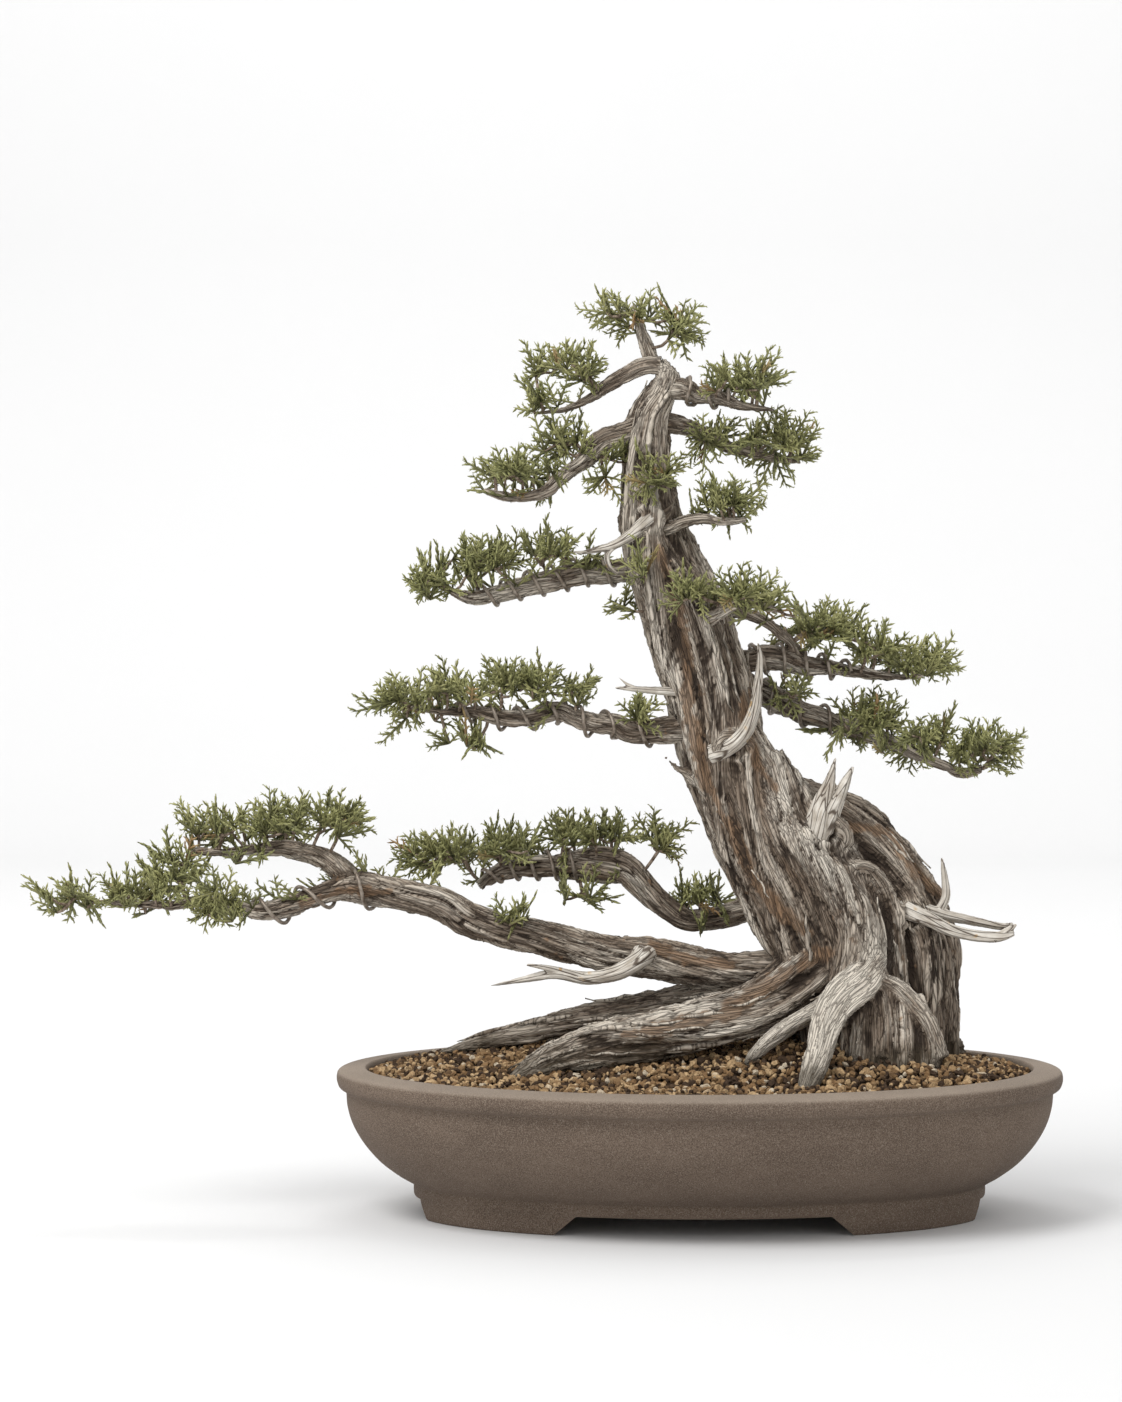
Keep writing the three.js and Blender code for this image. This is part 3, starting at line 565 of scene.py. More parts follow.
ROOTS = [
    # the long root that sweeps to the left in front, and a thinner one behind it
    Limb([[99, -4, 188, 25], [73, -10, 160, 24], [40, -18, 140, 20], [0, -26, 130, 17.5],
          [-33, -34, 124, 15.5], [-66, -40, 119, 13.5], [-90, -46, 112, 11.5], [-110, -52, 103, 9],
          [-124, -56, 95, 5]], twist=6.0, pale=0.3),
    Limb([[60, 10, 160, 16], [30, 12, 148, 13], [0, 14, 140, 11], [-40, 18, 133, 10],
          [-79, 22, 126, 9.5], [-112, 26, 119, 8], [-145, 30, 111, 6], [-172, 33, 102, 3]],
         twist=5.0, pale=0.1),
    # two bleached roots that grip the soil in front
    Limb([[112, -34, 166, 9], [101, -44, 154, 12], [89, -56, 144, 11.5], [81, -67, 130, 9.5],
          [76, -78, 115, 8], [71, -90, 103, 7], [66, -99, 93, 5.5], [63, -106, 84, 4]],
         twist=8.0, pale=0.95),
    Limb([[92, -36, 146, 8], [80, -41, 141, 7.5], [66, -44, 134, 6.5], [50, -46, 124, 6],
          [38, -46, 114, 5], [28, -46, 104, 3]], twist=8.0, pale=0.7),
    # a ridge to the right of them, and the fibrous skirt it closes off
    Limb([[108, -34, 158, 9], [125, -38, 153, 8], [138, -41, 142, 7.5], [148, -45, 129, 7],
          [156, -50, 108, 6]], twist=8.0, pale=0.35),
    Limb([[104, -33, 152, 14], [106, -41, 130, 15], [107, -48, 98, 17]], twist=6.0, pale=0.15),
    Limb([[121, -32, 150, 14], [124, -41, 128, 15], [126, -48, 98, 17]], twist=6.0, pale=0.2),
    Limb([[135, -28, 143, 13], [141, -37, 124, 14], [144, -45, 98, 16]], twist=6.0, pale=0.15),
    # three that hold the back
    Limb([[110, 14, 140, 28], [104, 46, 120, 18], [98, 76, 110, 10], [94, 98, 99, 4]], twist=5.0),
    Limb([[80, 14, 136, 20], [40, 48, 122, 12], [4, 70, 113, 7], [-24, 84, 102, 3]], twist=5.0),
    Limb([[140, 18, 124, 24], [160, 36, 112, 13], [178, 46, 100, 5]], twist=5.0),
]
muscle = np.random.default_rng(17)
MUSCLES = [
    *strands(TRUNK[0], 8, muscle), *strands(TRUNK[1], 7, muscle),
    *strands(ROOTS[0], 5, muscle, width=0.4), *strands(ROOTS[1], 4, muscle, width=0.4),
    *strands(ROOTS[2], 4, muscle, width=0.42), *strands(ROOTS[3], 3, muscle, width=0.45),
    *[strand for root in ROOTS[5:8] for strand in strands(root, 9, muscle, reach=0.85, width=0.2)],
]
# swollen rims round old wounds: x, y, z and reach
TRUNK_KNOTS = [[79, -27, 257, 10], [22, -30, 312, 9], [-34, -18, 459, 8], [140, -16, 200, 8]]
TRUNK_GRID, TRUNK_SIDES, TRUNK_SEED = 1.7 * MM, 24, 3
trunk = wood("trunk_bark", TRUNK + ROOTS + MUSCLES, TRUNK_GRID, TRUNK_SIDES, TRUNK_SEED, bark_material,
             knots=TRUNK_KNOTS, smoothing=3)
belongs(trunk, "bark", "trunk")


def peeling(name, target, limbs, count, random, length, width):
    """Loose strips of bark that lie along the flow of the wood and lift at their ends."""
    surface = BVHTree.FromObject(target, bpy.context.evaluated_depsgraph_get())
    shares = np.array([limb.run[-1] * limb.radii.mean() for limb in limbs])
    parts, heights, strips, wheres = [], [], [], []
    for pick in random.choice(len(limbs), count, p=shares / shares.sum()):
        limb = limbs[pick]
        size = random.uniform(0.6, 1.3)
        long = length * size
        start = random.uniform(0, max(limb.run[-1] - long, 0.001))
        run = np.linspace(start, start + long, 8)
        angle = random.uniform(0, 2 * np.pi) + limb.twist * run
        axes = [np.column_stack([np.interp(run, limb.run, column) for column in values.T])
                for values in (limb.points, limb.normals, limb.sides)]
        radius = np.interp(run, limb.run, limb.radii)
        out = np.cos(angle)[:, None] * axes[1] + np.sin(angle)[:, None] * axes[2]
        line, up = [], []
        for spot in axes[0] + out * (radius * 1.25)[:, None]:
            place, normal, _, _ = surface.find_nearest(Vector(spot))
            line.append(tuple(place))
            up.append(tuple(normal))
        line, up = np.array(line), unit(np.array(up))
        steps = unit(np.diff(line, axis=0))
        if (steps[1:] * steps[:-1]).sum(1).min() < 0.85 or (up[1:] * up[:-1]).sum(1).min() < 0.6:
            continue
        share = np.linspace(-1, 1, 8)
        ends = np.where(share > 0, share, 0.5 * share) ** 4 * random.uniform(0.2, 3.2) * MM * size
        tangents = unit(np.gradient(line, axis=0))
        across = unit(np.cross(tangents, up))
        wide = width * size * random.uniform(0.5, 1.2) * (1 - 0.85 * np.abs(share) ** 2.5)
        middle = line + up * (ends + 0.35 * MM)[:, None]
        thick = 0.55 * MM * (1 - 0.6 * np.abs(share) ** 3)
        ring = np.stack([middle + across * wide[:, None] - up * (0.3 * MM), middle + up * thick[:, None],
                         middle - across * wide[:, None] - up * (0.3 * MM), middle - up * (0.8 * MM)], 1)
        points, faces = skin(ring)
        parts.append((points, faces))
        tone = random.random()
        heights.append(np.full(len(points), 0.75))
        strips.append(np.full(len(points), tone))
        wheres.append(np.column_stack([points[:, :2] * 0.3 + tone, points @ unit(line[-1] - line[0])]))
    blank = np.zeros(sum(len(points) for points, _ in parts))
    return mesh_piece(name, *stacked(parts), bark_material, height=np.concatenate(heights), live=blank,
                      strip=np.concatenate(strips), pale=blank + 0.3, hollow=blank + 0.7,
                      flow=np.vstack(wheres))


STRIP_TRIES, STRIP_LENGTH, STRIP_HALF_WIDTH = 1400, 32 * MM, 1.7 * MM
shed = peeling("trunk_peeling_bark", trunk, TRUNK[:2] + ROOTS[:2] + ROOTS[-3:], STRIP_TRIES,
               np.random.default_rng(23), STRIP_LENGTH, STRIP_HALF_WIDTH)
belongs(shed, "bark", "trunk")

# ---- Branches --------------------------------------------------------------------------------------
# Thirteen branches of living wood, with the trunk's bark at a smaller scale. Each is melted together
# from its own routes and starts inside the trunk, where it grew from.

BRANCHES = {
    "low_left": [
        [[66, 6, 165, 14], [33, 6, 161, 13.5], [0, 5, 163, 13.5], [-33, 4, 169, 13.5], [-66, 2, 173, 13],
         [-105, 0, 183, 12.5], [-132, -2, 189, 12], [-154, -3, 196, 12.5], [-171, -4, 206, 11.5],
         [-198, -5, 212, 11], [-224, -5, 217, 12], [-241, -6, 215, 8.6], [-270, -8, 205, 8],
         [-289, -9, 201, 7], [-307, -10, 204, 6], [-330, -10, 208, 4.5], [-353, -11, 205, 3.4],
         [-392, -12, 208, 2.4]],
        [[-224, -5, 218, 9], [-247, 4, 235, 7.5], [-270, 8, 241, 6], [-293, 10, 241, 4.6],
         [-313, 12, 239, 3.4], [-336, 14, 239, 2.4]],
    ],
    "back_left": [
        [[51, 24, 208, 8], [21, 34, 196, 7.5], [-5, 36, 192, 7.5], [-22, 36, 201, 8], [-36, 36, 214, 9],
         [-49, 35, 226, 10.5], [-66, 34, 229, 12], [-86, 34, 229, 9], [-109, 34, 228, 7],
         [-132, 34, 225, 6], [-147, 34, 214, 4]],
    ],
    "mid_left": [
        [[-2, 0, 322, 9], [-43, -2, 319, 7.5], [-56, -3, 324, 7], [-70, -4, 325, 7], [-84, -5, 329, 6.5],
         [-94, -6, 333, 6.3], [-111, -7, 329, 6.5], [-123, -8, 328, 6.3], [-137, -9, 330, 5.5],
         [-151, -10, 333, 4.5], [-171, -11, 333, 3.2], [-191, -12, 336, 2.2]],
    ],
    "upper_left": [
        [[-30, 4, 430, 9], [-61, 3, 425, 8], [-76, 2, 425, 8], [-97, 0, 420, 7.3], [-115, -2, 416, 7],
         [-133, -4, 411, 6], [-151, -6, 408, 5], [-165, -8, 413, 3.4], [-178, -10, 419, 2.2]],
    ],
    "crown_left": [
        [[-35, 0, 521, 9], [-49, -2, 516, 8], [-63, -4, 511, 7.5], [-71, -6, 504, 7.5],
         [-79, -8, 496, 5.2], [-89, -9, 489, 4.6], [-99, -10, 480, 4.2], [-111, -11, 475, 3.6],
         [-127, -12, 474, 2.8], [-142, -13, 478, 2]],
    ],
    "apex_left": [
        [[-26, 0, 560, 6.5], [-36, -1, 560, 6.4], [-46, -2, 556, 6], [-61, -4, 547, 5.4],
         [-69, -6, 541, 3.8], [-80, -7, 535, 3.2], [-92, -8, 531, 2.6], [-109, -9, 529, 1.8]],
    ],
    "apex_top": [[[-31, 2, 560, 5.6], [-36, 3, 574, 5], [-40, 4, 587, 3.4], [-45, 4, 600, 2]]],
    "apex_right": [
        [[-26, -3, 546, 7.5], [-10, -6, 545, 7], [-3, -7, 541, 6.2], [5, -8, 540, 5.4],
         [13, -9, 539, 5.4], [23, -10, 535, 4.2], [33, -11, 533, 3.2], [49, -12, 531, 2]],
    ],
    "crown_right": [
        [[-30, 4, 524, 7], [-16, 6, 522, 6.4], [-7, 7, 520, 5.6], [2, 8, 516, 4.8], [20, 10, 507, 4.2],
         [32, 11, 504, 3.6], [49, 12, 500, 2.8], [67, 13, 498, 2]],
    ],
    "right_mid": [
        [[-33, -6, 448, 6.5], [-19, -17, 454, 5], [-10, -19, 458, 4.4], [2, -20, 460, 3.8],
         [14, -20, 458, 3], [30, -20, 459, 2]],
    ],
    "front_right": [
        [[0, -18, 392, 7], [13, -30, 399, 5.4], [22, -34, 404, 4.6], [34, -36, 404, 3.8],
         [50, -36, 400, 2.4]],
    ],
    "upper_right": [
        [[10, 8, 365, 10], [33, 9, 366, 8.6], [41, 10, 368, 9], [55, 10, 367, 8.6], [68, 11, 363, 7.6],
         [82, 12, 362, 6.4], [95, 13, 360, 5.2], [107, 14, 358, 4.3], [120, 15, 356, 3.6],
         [137, 16, 355, 2.8], [155, 17, 358, 2]],
        [[10, 4, 400, 6], [30, 5, 397, 4.4], [44, 6, 391, 4], [53, 7, 384, 3.8], [61, 8, 378, 3.6],
         [67, 10, 368, 3.6]],
    ],
    "lower_right": [
        [[10, 12, 358, 10], [30, 18, 351, 8.4], [45, 20, 343, 8.6], [58, 21, 336, 8], [70, 22, 331, 7.2],
         [82, 22, 328, 6.4], [99, 22, 321, 5.8], [129, 20, 311, 5.2], [146, 18, 303, 4.7],
         [162, 17, 297, 4.2], [174, 16, 292, 3.6], [188, 15, 294, 2.4]],
    ],
}
BRANCH_GRID, THICK_BRANCH_GRID, STUB_GRID = 0.85 * MM, 1.15 * MM, 0.7 * MM
branch_limbs = {
    name: [Limb(route, twist=8.0, pale=0.15, live=0.05, step=2.0) for route in routes]
    for name, routes in BRANCHES.items()
}
for seed, (name, limbs) in enumerate(branch_limbs.items(), start=20):
    voxel = THICK_BRANCH_GRID if name == "low_left" else BRANCH_GRID
    branch = wood(f"{name}_bark", limbs, voxel, 14, seed, bark_material, lobing=0.06, smoothing=4)
    belongs(branch, "bark", f"branch_{name}")

# ---- Dead stubs ------------------------------------------------------------------------------------
# Branches that died and were stripped: the same wood, bleached to bone, tapering to a point, with fine
# dark checks along the grain.

bone = Paint("bleached_deadwood", roughness=0.75)
flow = bone.attribute("flow", "Vector")
fibre = bone.noise(flow.stretched(1, 1, 0.05), 700, detail=4, roughness=0.6)
checks = bone.cells(flow.stretched(1, 1, 0.05), 300).ramp(0.0, 0.1)
blotch = bone.noise(bone.position(), 90, detail=2)
weathered = bone.mix((fibre * 0.8 + blotch * 0.5).ramp(0.4, 0.95), (0.36, 0.31, 0.25),
                     (0.78, 0.74, 0.67))
ochre = bone.mix((blotch + bone.attribute("live") * 0.2).ramp(0.66, 0.8), weathered,
                 (0.5, 0.34, 0.17))
# Near-black in the fine checks along the grain, which are real cracks, and in the low parts of the
# relief as painted shade.
bone_material = bone.finish(bone.mix((checks * bone.attribute("height").ramp(0.0, 0.35)).ramp(0.0, 0.7),
                                     (0.11, 0.085, 0.065), ochre),
                            bump=fibre * 0.5 + checks * 0.7, depth=0.6 * MM)

DEAD_STUBS = {
    "deadwood_right": [
        [[128, -4, 206, 7], [138, -14, 202, 6.5], [150, -18, 197, 5.2], [164, -19, 190, 4.4],
         [180, -18, 186, 4.0], [196, -17, 185, 3.6], [207, -16, 187, 1.6]],
        [[196, -17, 185, 3], [204, -15, 190, 2.0], [208, -15, 193, 0.8]],
        [[146, -10, 204, 3.6], [160, -7, 199, 4.0], [174, -5, 196, 3.4], [188, -4, 193, 2.9],
         [200, -4, 191, 2.4], [207, -4, 193, 1.0]],
        [[158, -6, 202, 3.4], [162, -3, 210, 3.2], [162, -1, 220, 2.6], [160, 0, 236, 0.8]],
    ],
    "deadwood_shoulder": [
        [[72, -18, 240, 9], [76, -27, 256, 9], [79, -29, 272, 7.0], [84, -30, 287, 4.4],
         [88, -31, 304, 0.9]],
        [[80, -27, 256, 7.5], [87, -30, 272, 5.6], [94, -32, 287, 3.2], [99, -33, 298, 0.8]],
    ],
    "deadwood_middle": [
        [[8, -22, 305, 6.5], [20, -31, 311, 5.4], [29, -35, 321, 4.8], [35, -36, 336, 3.9],
         [37, -36, 353, 2.9], [38, -35, 368, 2.0], [37, -34, 379, 0.8]],
    ],
    "deadwood_upper": [
        [[-26, -8, 465, 6.4], [-36, -20, 457, 5.0], [-46, -22, 449, 3.8], [-56, -21, 443, 3.0],
         [-66, -20, 440, 2.4], [-76, -19, 438, 1.6], [-84, -18, 438, 0.8]],
        [[-54, -21, 444, 2.4], [-61, -20, 437, 2.2], [-60, -20, 429, 2.0], [-54, -19, 423, 1.0]],
    ],
    "deadwood_low": [
        [[-36, -4, 172, 8.5], [-42, -16, 168, 6.5], [-56, -21, 161, 5.4], [-75, -23, 158, 4.6],
         [-95, -25, 161, 3.6], [-115, -26, 158, 2.4], [-138, -28, 154, 0.8]],
        [[-78, -24, 159, 3.4], [-98, -27, 165, 2.2], [-114, -30, 168, 0.8]],
    ],
    "deadwood_left_twig": [
        [[-14, -8, 346, 3.4], [-30, -12, 347, 2.6], [-43, -13, 348, 2.0], [-56, -13, 349, 0.9]],
        [[-42, -13, 348, 1.8], [-49, -12, 352, 1.2], [-54, -12, 356, 0.6]],
    ],
}
for seed, (name, routes) in enumerate(DEAD_STUBS.items(), start=50):
    limbs = [Limb(route, twist=6.0, pale=1.0, step=1.5) for route in routes]
    stub = wood(f"{name}_bone", limbs, STUB_GRID, 14, seed, bone_material, grain=0.45, lobing=0.14,
                smoothing=3)
    belongs(stub, "deadwood", name)

# ---- Training wire ---------------------------------------------------------------------------------
# Annealed aluminium wire, dulled by weather, that holds seven branches in shape. Each length is wound
# tight round its branch, just over the bark.

WIRE_RADIUS = 1.3 * MM
STEPS_PER_TURN = 28
# where each winding starts and ends along its branch, from 0 to 1, and how many turns it makes
COILS = {
    "low_left": (0.6, 0.8, 3),
    "back_left": (0.66, 0.97, 5),
    "mid_left": (0.14, 0.86, 7),
    "upper_left": (0.16, 0.78, 6),
    "apex_right": (0.18, 0.6, 2.5),
    "upper_right": (0.16, 0.62, 4.5),
    "lower_right": (0.16, 0.55, 3.5),
}
metal = Paint("dull_wire", roughness=0.5, metallic=0.55)
tarnish = metal.noise(metal.position(), 260, detail=4)
dull = metal.mix(tarnish.ramp(0.3, 0.7), (0.16, 0.125, 0.095), (0.36, 0.31, 0.26))
wire_material = metal.finish(dull, roughness=tarnish.ramp(0.3, 0.8, 0.4, 0.65), bump=tarnish,
                             depth=0.15 * MM)


def tube_along(line, radius, sides):
    """Points and triangles of a round tube of one radius, or one per point, along a line."""
    _, normals, across = carried(line, np.cross(line[1] - line[0], [0.31, 0.47, 0.82]))
    angles = 2 * np.pi * np.arange(sides)[:, None] / sides
    out = np.cos(angles) * normals[:, None] + np.sin(angles) * across[:, None]
    return skin(line[:, None] + np.broadcast_to(radius, len(line))[:, None, None] * out)


for name, (start, end, turns) in COILS.items():
    limb = branch_limbs[name][0]
    share = np.linspace(0, 1, int(turns * STEPS_PER_TURN))
    spot = np.interp(start + (end - start) * share, limb.run / limb.run[-1], np.arange(len(limb.run)))
    index = spot.astype(int)
    part = (spot - index)[:, None]
    after = np.minimum(index + 1, len(limb.run) - 1)
    middle = limb.points[index] * (1 - part) + limb.points[after] * part
    angle = 2 * np.pi * turns * share
    out = np.cos(angle)[:, None] * limb.normals[index] + np.sin(angle)[:, None] * limb.sides[index]
    hug = limb.radii[index] * (1.06 + 0.05 * np.sin(2.3 * angle)) + WIRE_RADIUS
    winding = tube_along(middle + out * hug[:, None], WIRE_RADIUS, 8)
    piece = mesh_piece(f"{name}_training_wire", *winding, wire_material)
    belongs(piece, "wire", f"wire_{name}")

# ---- Foliage ---------------------------------------------------------------------------------------
# Scale leaves clothe every shoot, so a spray is a green stem with shorter shoots along both sides.
# A few kinds of spray are grown once, then set out over each pad on twigs that fork from its branch.

green = Paint("scale_leaves", roughness=0.6, specular=0.35)
shade = green.attribute("shade")
tip = green.attribute("along")
mottle = green.noise(green.position(), 800, detail=2)
leaf = green.mix((tip * 0.8 + mottle * 0.5).ramp(0.25, 1.05), (0.095, 0.094, 0.038),
                 (0.32, 0.325, 0.128))
leaf = green.mix(shade.ramp(0.3, 1.0) * 0.5, leaf, (0.43, 0.415, 0.18))
leaf = green.mix(green.attribute("dead"), leaf, (0.36, 0.21, 0.1))
green_material = green.finish(leaf, bump=green.noise(green.position(), 1100, detail=2), depth=0.35 * MM)

twiggy = Paint("twig_bark", roughness=0.85)
mottle = twiggy.noise(twiggy.position(), 380, detail=3)
twig_material = twiggy.finish(twiggy.mix(mottle.ramp(0.3, 0.7), (0.1, 0.066, 0.043), (0.33, 0.26, 0.2)),
                              bump=mottle, depth=0.5 * MM)


def shoot(base, direction, length, radius, bend, rings):
    """A scale-leaf shoot, swollen in the middle and pointed: its points and triangles."""
    share = np.linspace(0, 1, rings)[:, None]
    line = base + direction * length * share + bend * length * share**2
    widths = radius * np.interp(share[:, 0], [0, 0.3, 0.75, 1], [0.7, 1.0, 0.8, 0.1])
    return tube_along(line, widths, 3)


def spray(random, length):
    """One flat spray growing along +Z: points, triangles, and how near each point is to a tip."""
    parts, tips = [], []

    def grow(base, direction, reach, radius, level):
        bend = random.normal(0, 0.06, 3)
        points, faces = shoot(base, direction, reach, radius, bend, (5, 3, 2)[level])
        parts.append((points, faces))
        along = np.linalg.norm(points - base, axis=1) / reach
        tips.append(np.clip(along * 0.6 + 0.25 * level, 0, 1))
        if reach < 5.8 * MM or level == 2:
            return
        side = random.choice([-1, 1])
        face = np.cross(direction, [0, 1, 0])
        spacing = (3.1, 2.8)[level] * MM
        for at in np.arange((0.22, 0.4)[level] * reach, 0.88 * reach, spacing):
            share = at / reach
            angle = math.radians(random.uniform(38, 52))
            tilt = random.normal(0, 0.14)
            out = side * face * math.cos(tilt) + np.array([0, 1, 0]) * math.sin(tilt)
            way = unit(direction * math.cos(angle) + out * math.sin(angle))
            child = (0.46, 0.5)[level] * reach * (1 - 0.55 * share) * random.uniform(0.85, 1.15)
            grow(base + direction * at + bend * reach * share**2, way, child, radius * 0.9, level + 1)
            side = -side

    grow(np.zeros(3), np.array([0.0, 0.0, 1.0]), length, 1.05 * MM, 0)
    points, faces = stacked(parts)
    return points, faces, np.concatenate(tips)


spray_random = np.random.default_rng(11)
SPRAYS = [spray(spray_random, length * MM) for length in (11, 13, 15, 17, 19, 20.5, 22, 24)]

# The branch that each pad of foliage grows from; "trunk" where it springs straight from the trunk.
PADS = {
    "apex": "apex_top", "apex_left": "apex_left", "apex_right": "apex_right",
    "crown_left": "crown_left", "crown_left_inner": "crown_left", "crown_right": "crown_right",
    "trunk_front": "trunk", "right_mid": "right_mid", "upper_left": "upper_left",
    "upper_left_inner": "trunk", "front_right": "front_right", "left_tuft": "trunk",
    "upper_right": "upper_right", "mid_left": "mid_left", "mid_left_under": "mid_left",
    "mid_left_inner": "mid_left", "lower_right_tuft": "lower_right", "lower_right": "lower_right",
    "back_left": "back_left", "back_left_top": "back_left", "back_left_inner": "back_left",
    "back_left_under": "back_left", "low_left_tip": "low_left", "low_left": "low_left",
    "low_left_top": "low_left", "low_left_front": "low_left",
}


TUFT_SPACING = 14 * MM
TUFT_INSET = 15 * MM
TUFT_TRIES = 1500
SPRAYS_PER_TUFT = 5
HANGS_BELOW = 7 * MM


def scattered(mesh, count, spacing, random):
    """Points spread evenly over a mesh's faces, with the faces' normals."""
    mesh.calc_loop_triangles()
    corners = np.array([[tuple(mesh.vertices[i].co) for i in t.vertices] for t in mesh.loop_triangles])
    cross = np.cross(corners[:, 1] - corners[:, 0], corners[:, 2] - corners[:, 0])
    area = np.linalg.norm(cross, axis=1)
    picks = random.choice(len(area), count, p=area / area.sum())
    u, v = random.random(count), random.random(count)
    flip = u + v > 1
    u[flip], v[flip] = 1 - u[flip], 1 - v[flip]
    a, b, c = corners[picks].transpose(1, 0, 2)
    points = a + (b - a) * u[:, None] + (c - a) * v[:, None]
    normals = cross[picks] / area[picks][:, None]
    kept = []
    for i in range(count):
        if not kept or np.linalg.norm(points[kept] - points[i], axis=1).min() > spacing:
            kept.append(i)
    return points[kept], normals[kept]


def twigs(stems, bases, random):
    """Twigs that fork outwards from the stem points to every spray's base: points and triangles."""
    nodes = [tuple(point) for point in stems]
    cost = [0.0] * len(nodes)
    parent = [-1] * len(nodes)
    order = np.linalg.norm(bases[:, None] - stems[None], axis=2).min(1).argsort()
    for base in bases[order]:
        known = np.array(nodes)
        away = np.linalg.norm(known - base, axis=1)
        best = int((away + 0.35 * np.array(cost)).argmin())
        if away[best] < 1.0 * MM:
            continue
        count = max(1, int(away[best] / (5 * MM)))
        start = known[best]
        last = best
        for i in range(1, count + 1):
            share = i / count
            sag = np.array([0, 0, -0.1 * away[best] * math.sin(math.pi * share)])
            wobble = random.normal(0, 0.5 * MM, 3) * (share < 1)
            nodes.append(tuple(start + (base - start) * share + sag + wobble))
            cost.append(cost[best] + away[best] * share)
            parent.append(last)
            last = len(nodes) - 1
    carried = np.ones(len(nodes))
    for i in range(len(nodes) - 1, len(stems) - 1, -1):
        if parent[i] >= len(stems):
            carried[parent[i]] += 0.6 * carried[i]
    radius = 0.75 * MM * np.minimum(carried, 20) ** 0.4
    known = np.array(nodes)
    parts = []
    for i in range(len(stems), len(nodes)):
        start = known[parent[i]]
        line = np.array([start, known[i]])
        wide = radius[i] * 1.15 if parent[i] < len(stems) else radius[parent[i]]
        parts.append(tube_along(line, np.array([min(wide, radius[i] * 1.3), radius[i]]), 5))
    return stacked(parts)


def tufts(hubs, ways, count, random):
    """Fans of sprays from each hub: a list of (points, faces), and three values for every point."""
    parts, values = [], []
    for hub, way in zip(hubs, ways):
        plane = unit(np.cross(way, random.normal(0, 1, 3)))
        across = np.cross(plane, way)
        angles = np.linspace(-1.15, 1.15, count) + random.normal(0, 0.12, count)
        for angle in angles:
            aim = unit(way * math.cos(angle) + across * math.sin(angle) + plane * random.normal(0, 0.22))
            longest = len(SPRAYS) - 1 - 3.2 * abs(angle)
            kind = int(np.clip(random.normal(longest, 1.5), 0, len(SPRAYS) - 1))
            local, faces, tips = SPRAYS[kind]
            side = unit(np.cross(plane, aim) + random.normal(0, 0.2, 3))
            side = unit(side - aim * (side @ aim))
            turn = np.stack([side, np.cross(aim, side), aim])
            parts.append((local @ turn * random.uniform(0.85, 1.1) + hub, faces))
            brown = random.uniform(0.3, 0.9) if random.random() < 0.02 else 0.0
            values.append(np.column_stack([tips, np.full(len(local), random.random()),
                                           np.full(len(local), brown)]))
    return parts, values


def clothing(limb, lift, random):
    """Small tufts that spring straight from the outer half of a branch."""
    run = np.arange(0.5 * limb.run[-1], limb.run[-1], 15 * MM)
    index = np.searchsorted(limb.run, run)
    angle = random.uniform(0, 2 * np.pi, len(run))
    out = np.cos(angle)[:, None] * limb.normals[index] + np.sin(angle)[:, None] * limb.sides[index]
    out[:, 2] = np.abs(out[:, 2])
    starts = limb.points[index] + out * limb.radii[index][:, None] * 0.8
    return tufts(starts, unit(out + 0.5 * limb.tangents[index] + lift), 3, random)


def pad(name, source, random):
    """One pad: tufts of sprays on twig ends just under its CAD solid's surface."""
    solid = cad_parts[f"foliage_{name}"].data
    spacing = TUFT_SPACING * (1.15 if "apex" in source or "crown" in source else 1)
    points, normals = scattered(solid, TUFT_TRIES, spacing, random)
    keep = random.random(len(points)) < np.clip(0.95 + 0.9 * normals[:, 2], 0.25, 1)
    points, normals = points[keep], normals[keep]
    limbs = TRUNK[:1] if source == "trunk" else branch_limbs[source]
    stem = np.vstack([limb.points for limb in limbs])
    nearest = stem[((points[:, None] - stem[None]) ** 2).sum(2).argmin(1)]
    outward = unit((points - nearest) * (1, 1, 0.7))
    lift = np.array([0, 0, 0.4])
    ways = unit(0.5 * outward + 0.75 * normals + lift + random.normal(0, 0.18, points.shape))
    hubs = points - normals * TUFT_INSET * random.uniform(0.75, 1.25, (len(points), 1))
    hubs[:, 2] = np.minimum(hubs[:, 2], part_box(f"foliage_{name}")[1][2] - TUFT_INSET)
    if not name.endswith("under"):
        hubs[:, 2] = np.maximum(hubs[:, 2], nearest[:, 2] - HANGS_BELOW)
    parts, values = tufts(hubs, ways, SPRAYS_PER_TUFT, random)
    if source != "trunk" and source not in clothed:
        clothed.add(source)
        for limb in limbs:
            more = clothing(limb, lift, random)
            parts, values = parts + more[0], values + more[1]
    leaf_faces = sum(len(faces) for _, faces in parts)
    parts.append(twigs(np.unique(nearest, axis=0), hubs, random))
    values.append(np.zeros((len(parts[-1][0]), 3)))
    joined_points, joined_faces = stacked(parts)
    along, shades, dead = np.vstack(values).T
    made = mesh_piece(f"{name}_sprays", joined_points, joined_faces, green_material,
                      along=along, shade=shades, dead=dead)
    made.data.materials.append(twig_material)
    index = np.zeros(len(joined_faces), dtype=np.int32)
    index[leaf_faces:] = 1
    made.data.polygons.foreach_set("material_index", index)
    belongs(made, "foliage", f"foliage_{name}")


clothed = set()
pad_random = np.random.default_rng(5)
for name, source in PADS.items():
    pad(name, source, pad_random)

# ---- Pot -------------------------------------------------------------------------------------------
# One thrown-and-pressed oval of unglazed brown stoneware: rounded wall, rolled rim, foot band, four
# feet cut from a ring, and two drain holes.

POT_LENGTH, POT_DEPTH = 480, 350
INSET_DEPTH_RATIO = 1.2
FOOT_HEIGHT = 13
POT_SEGMENTS = 144


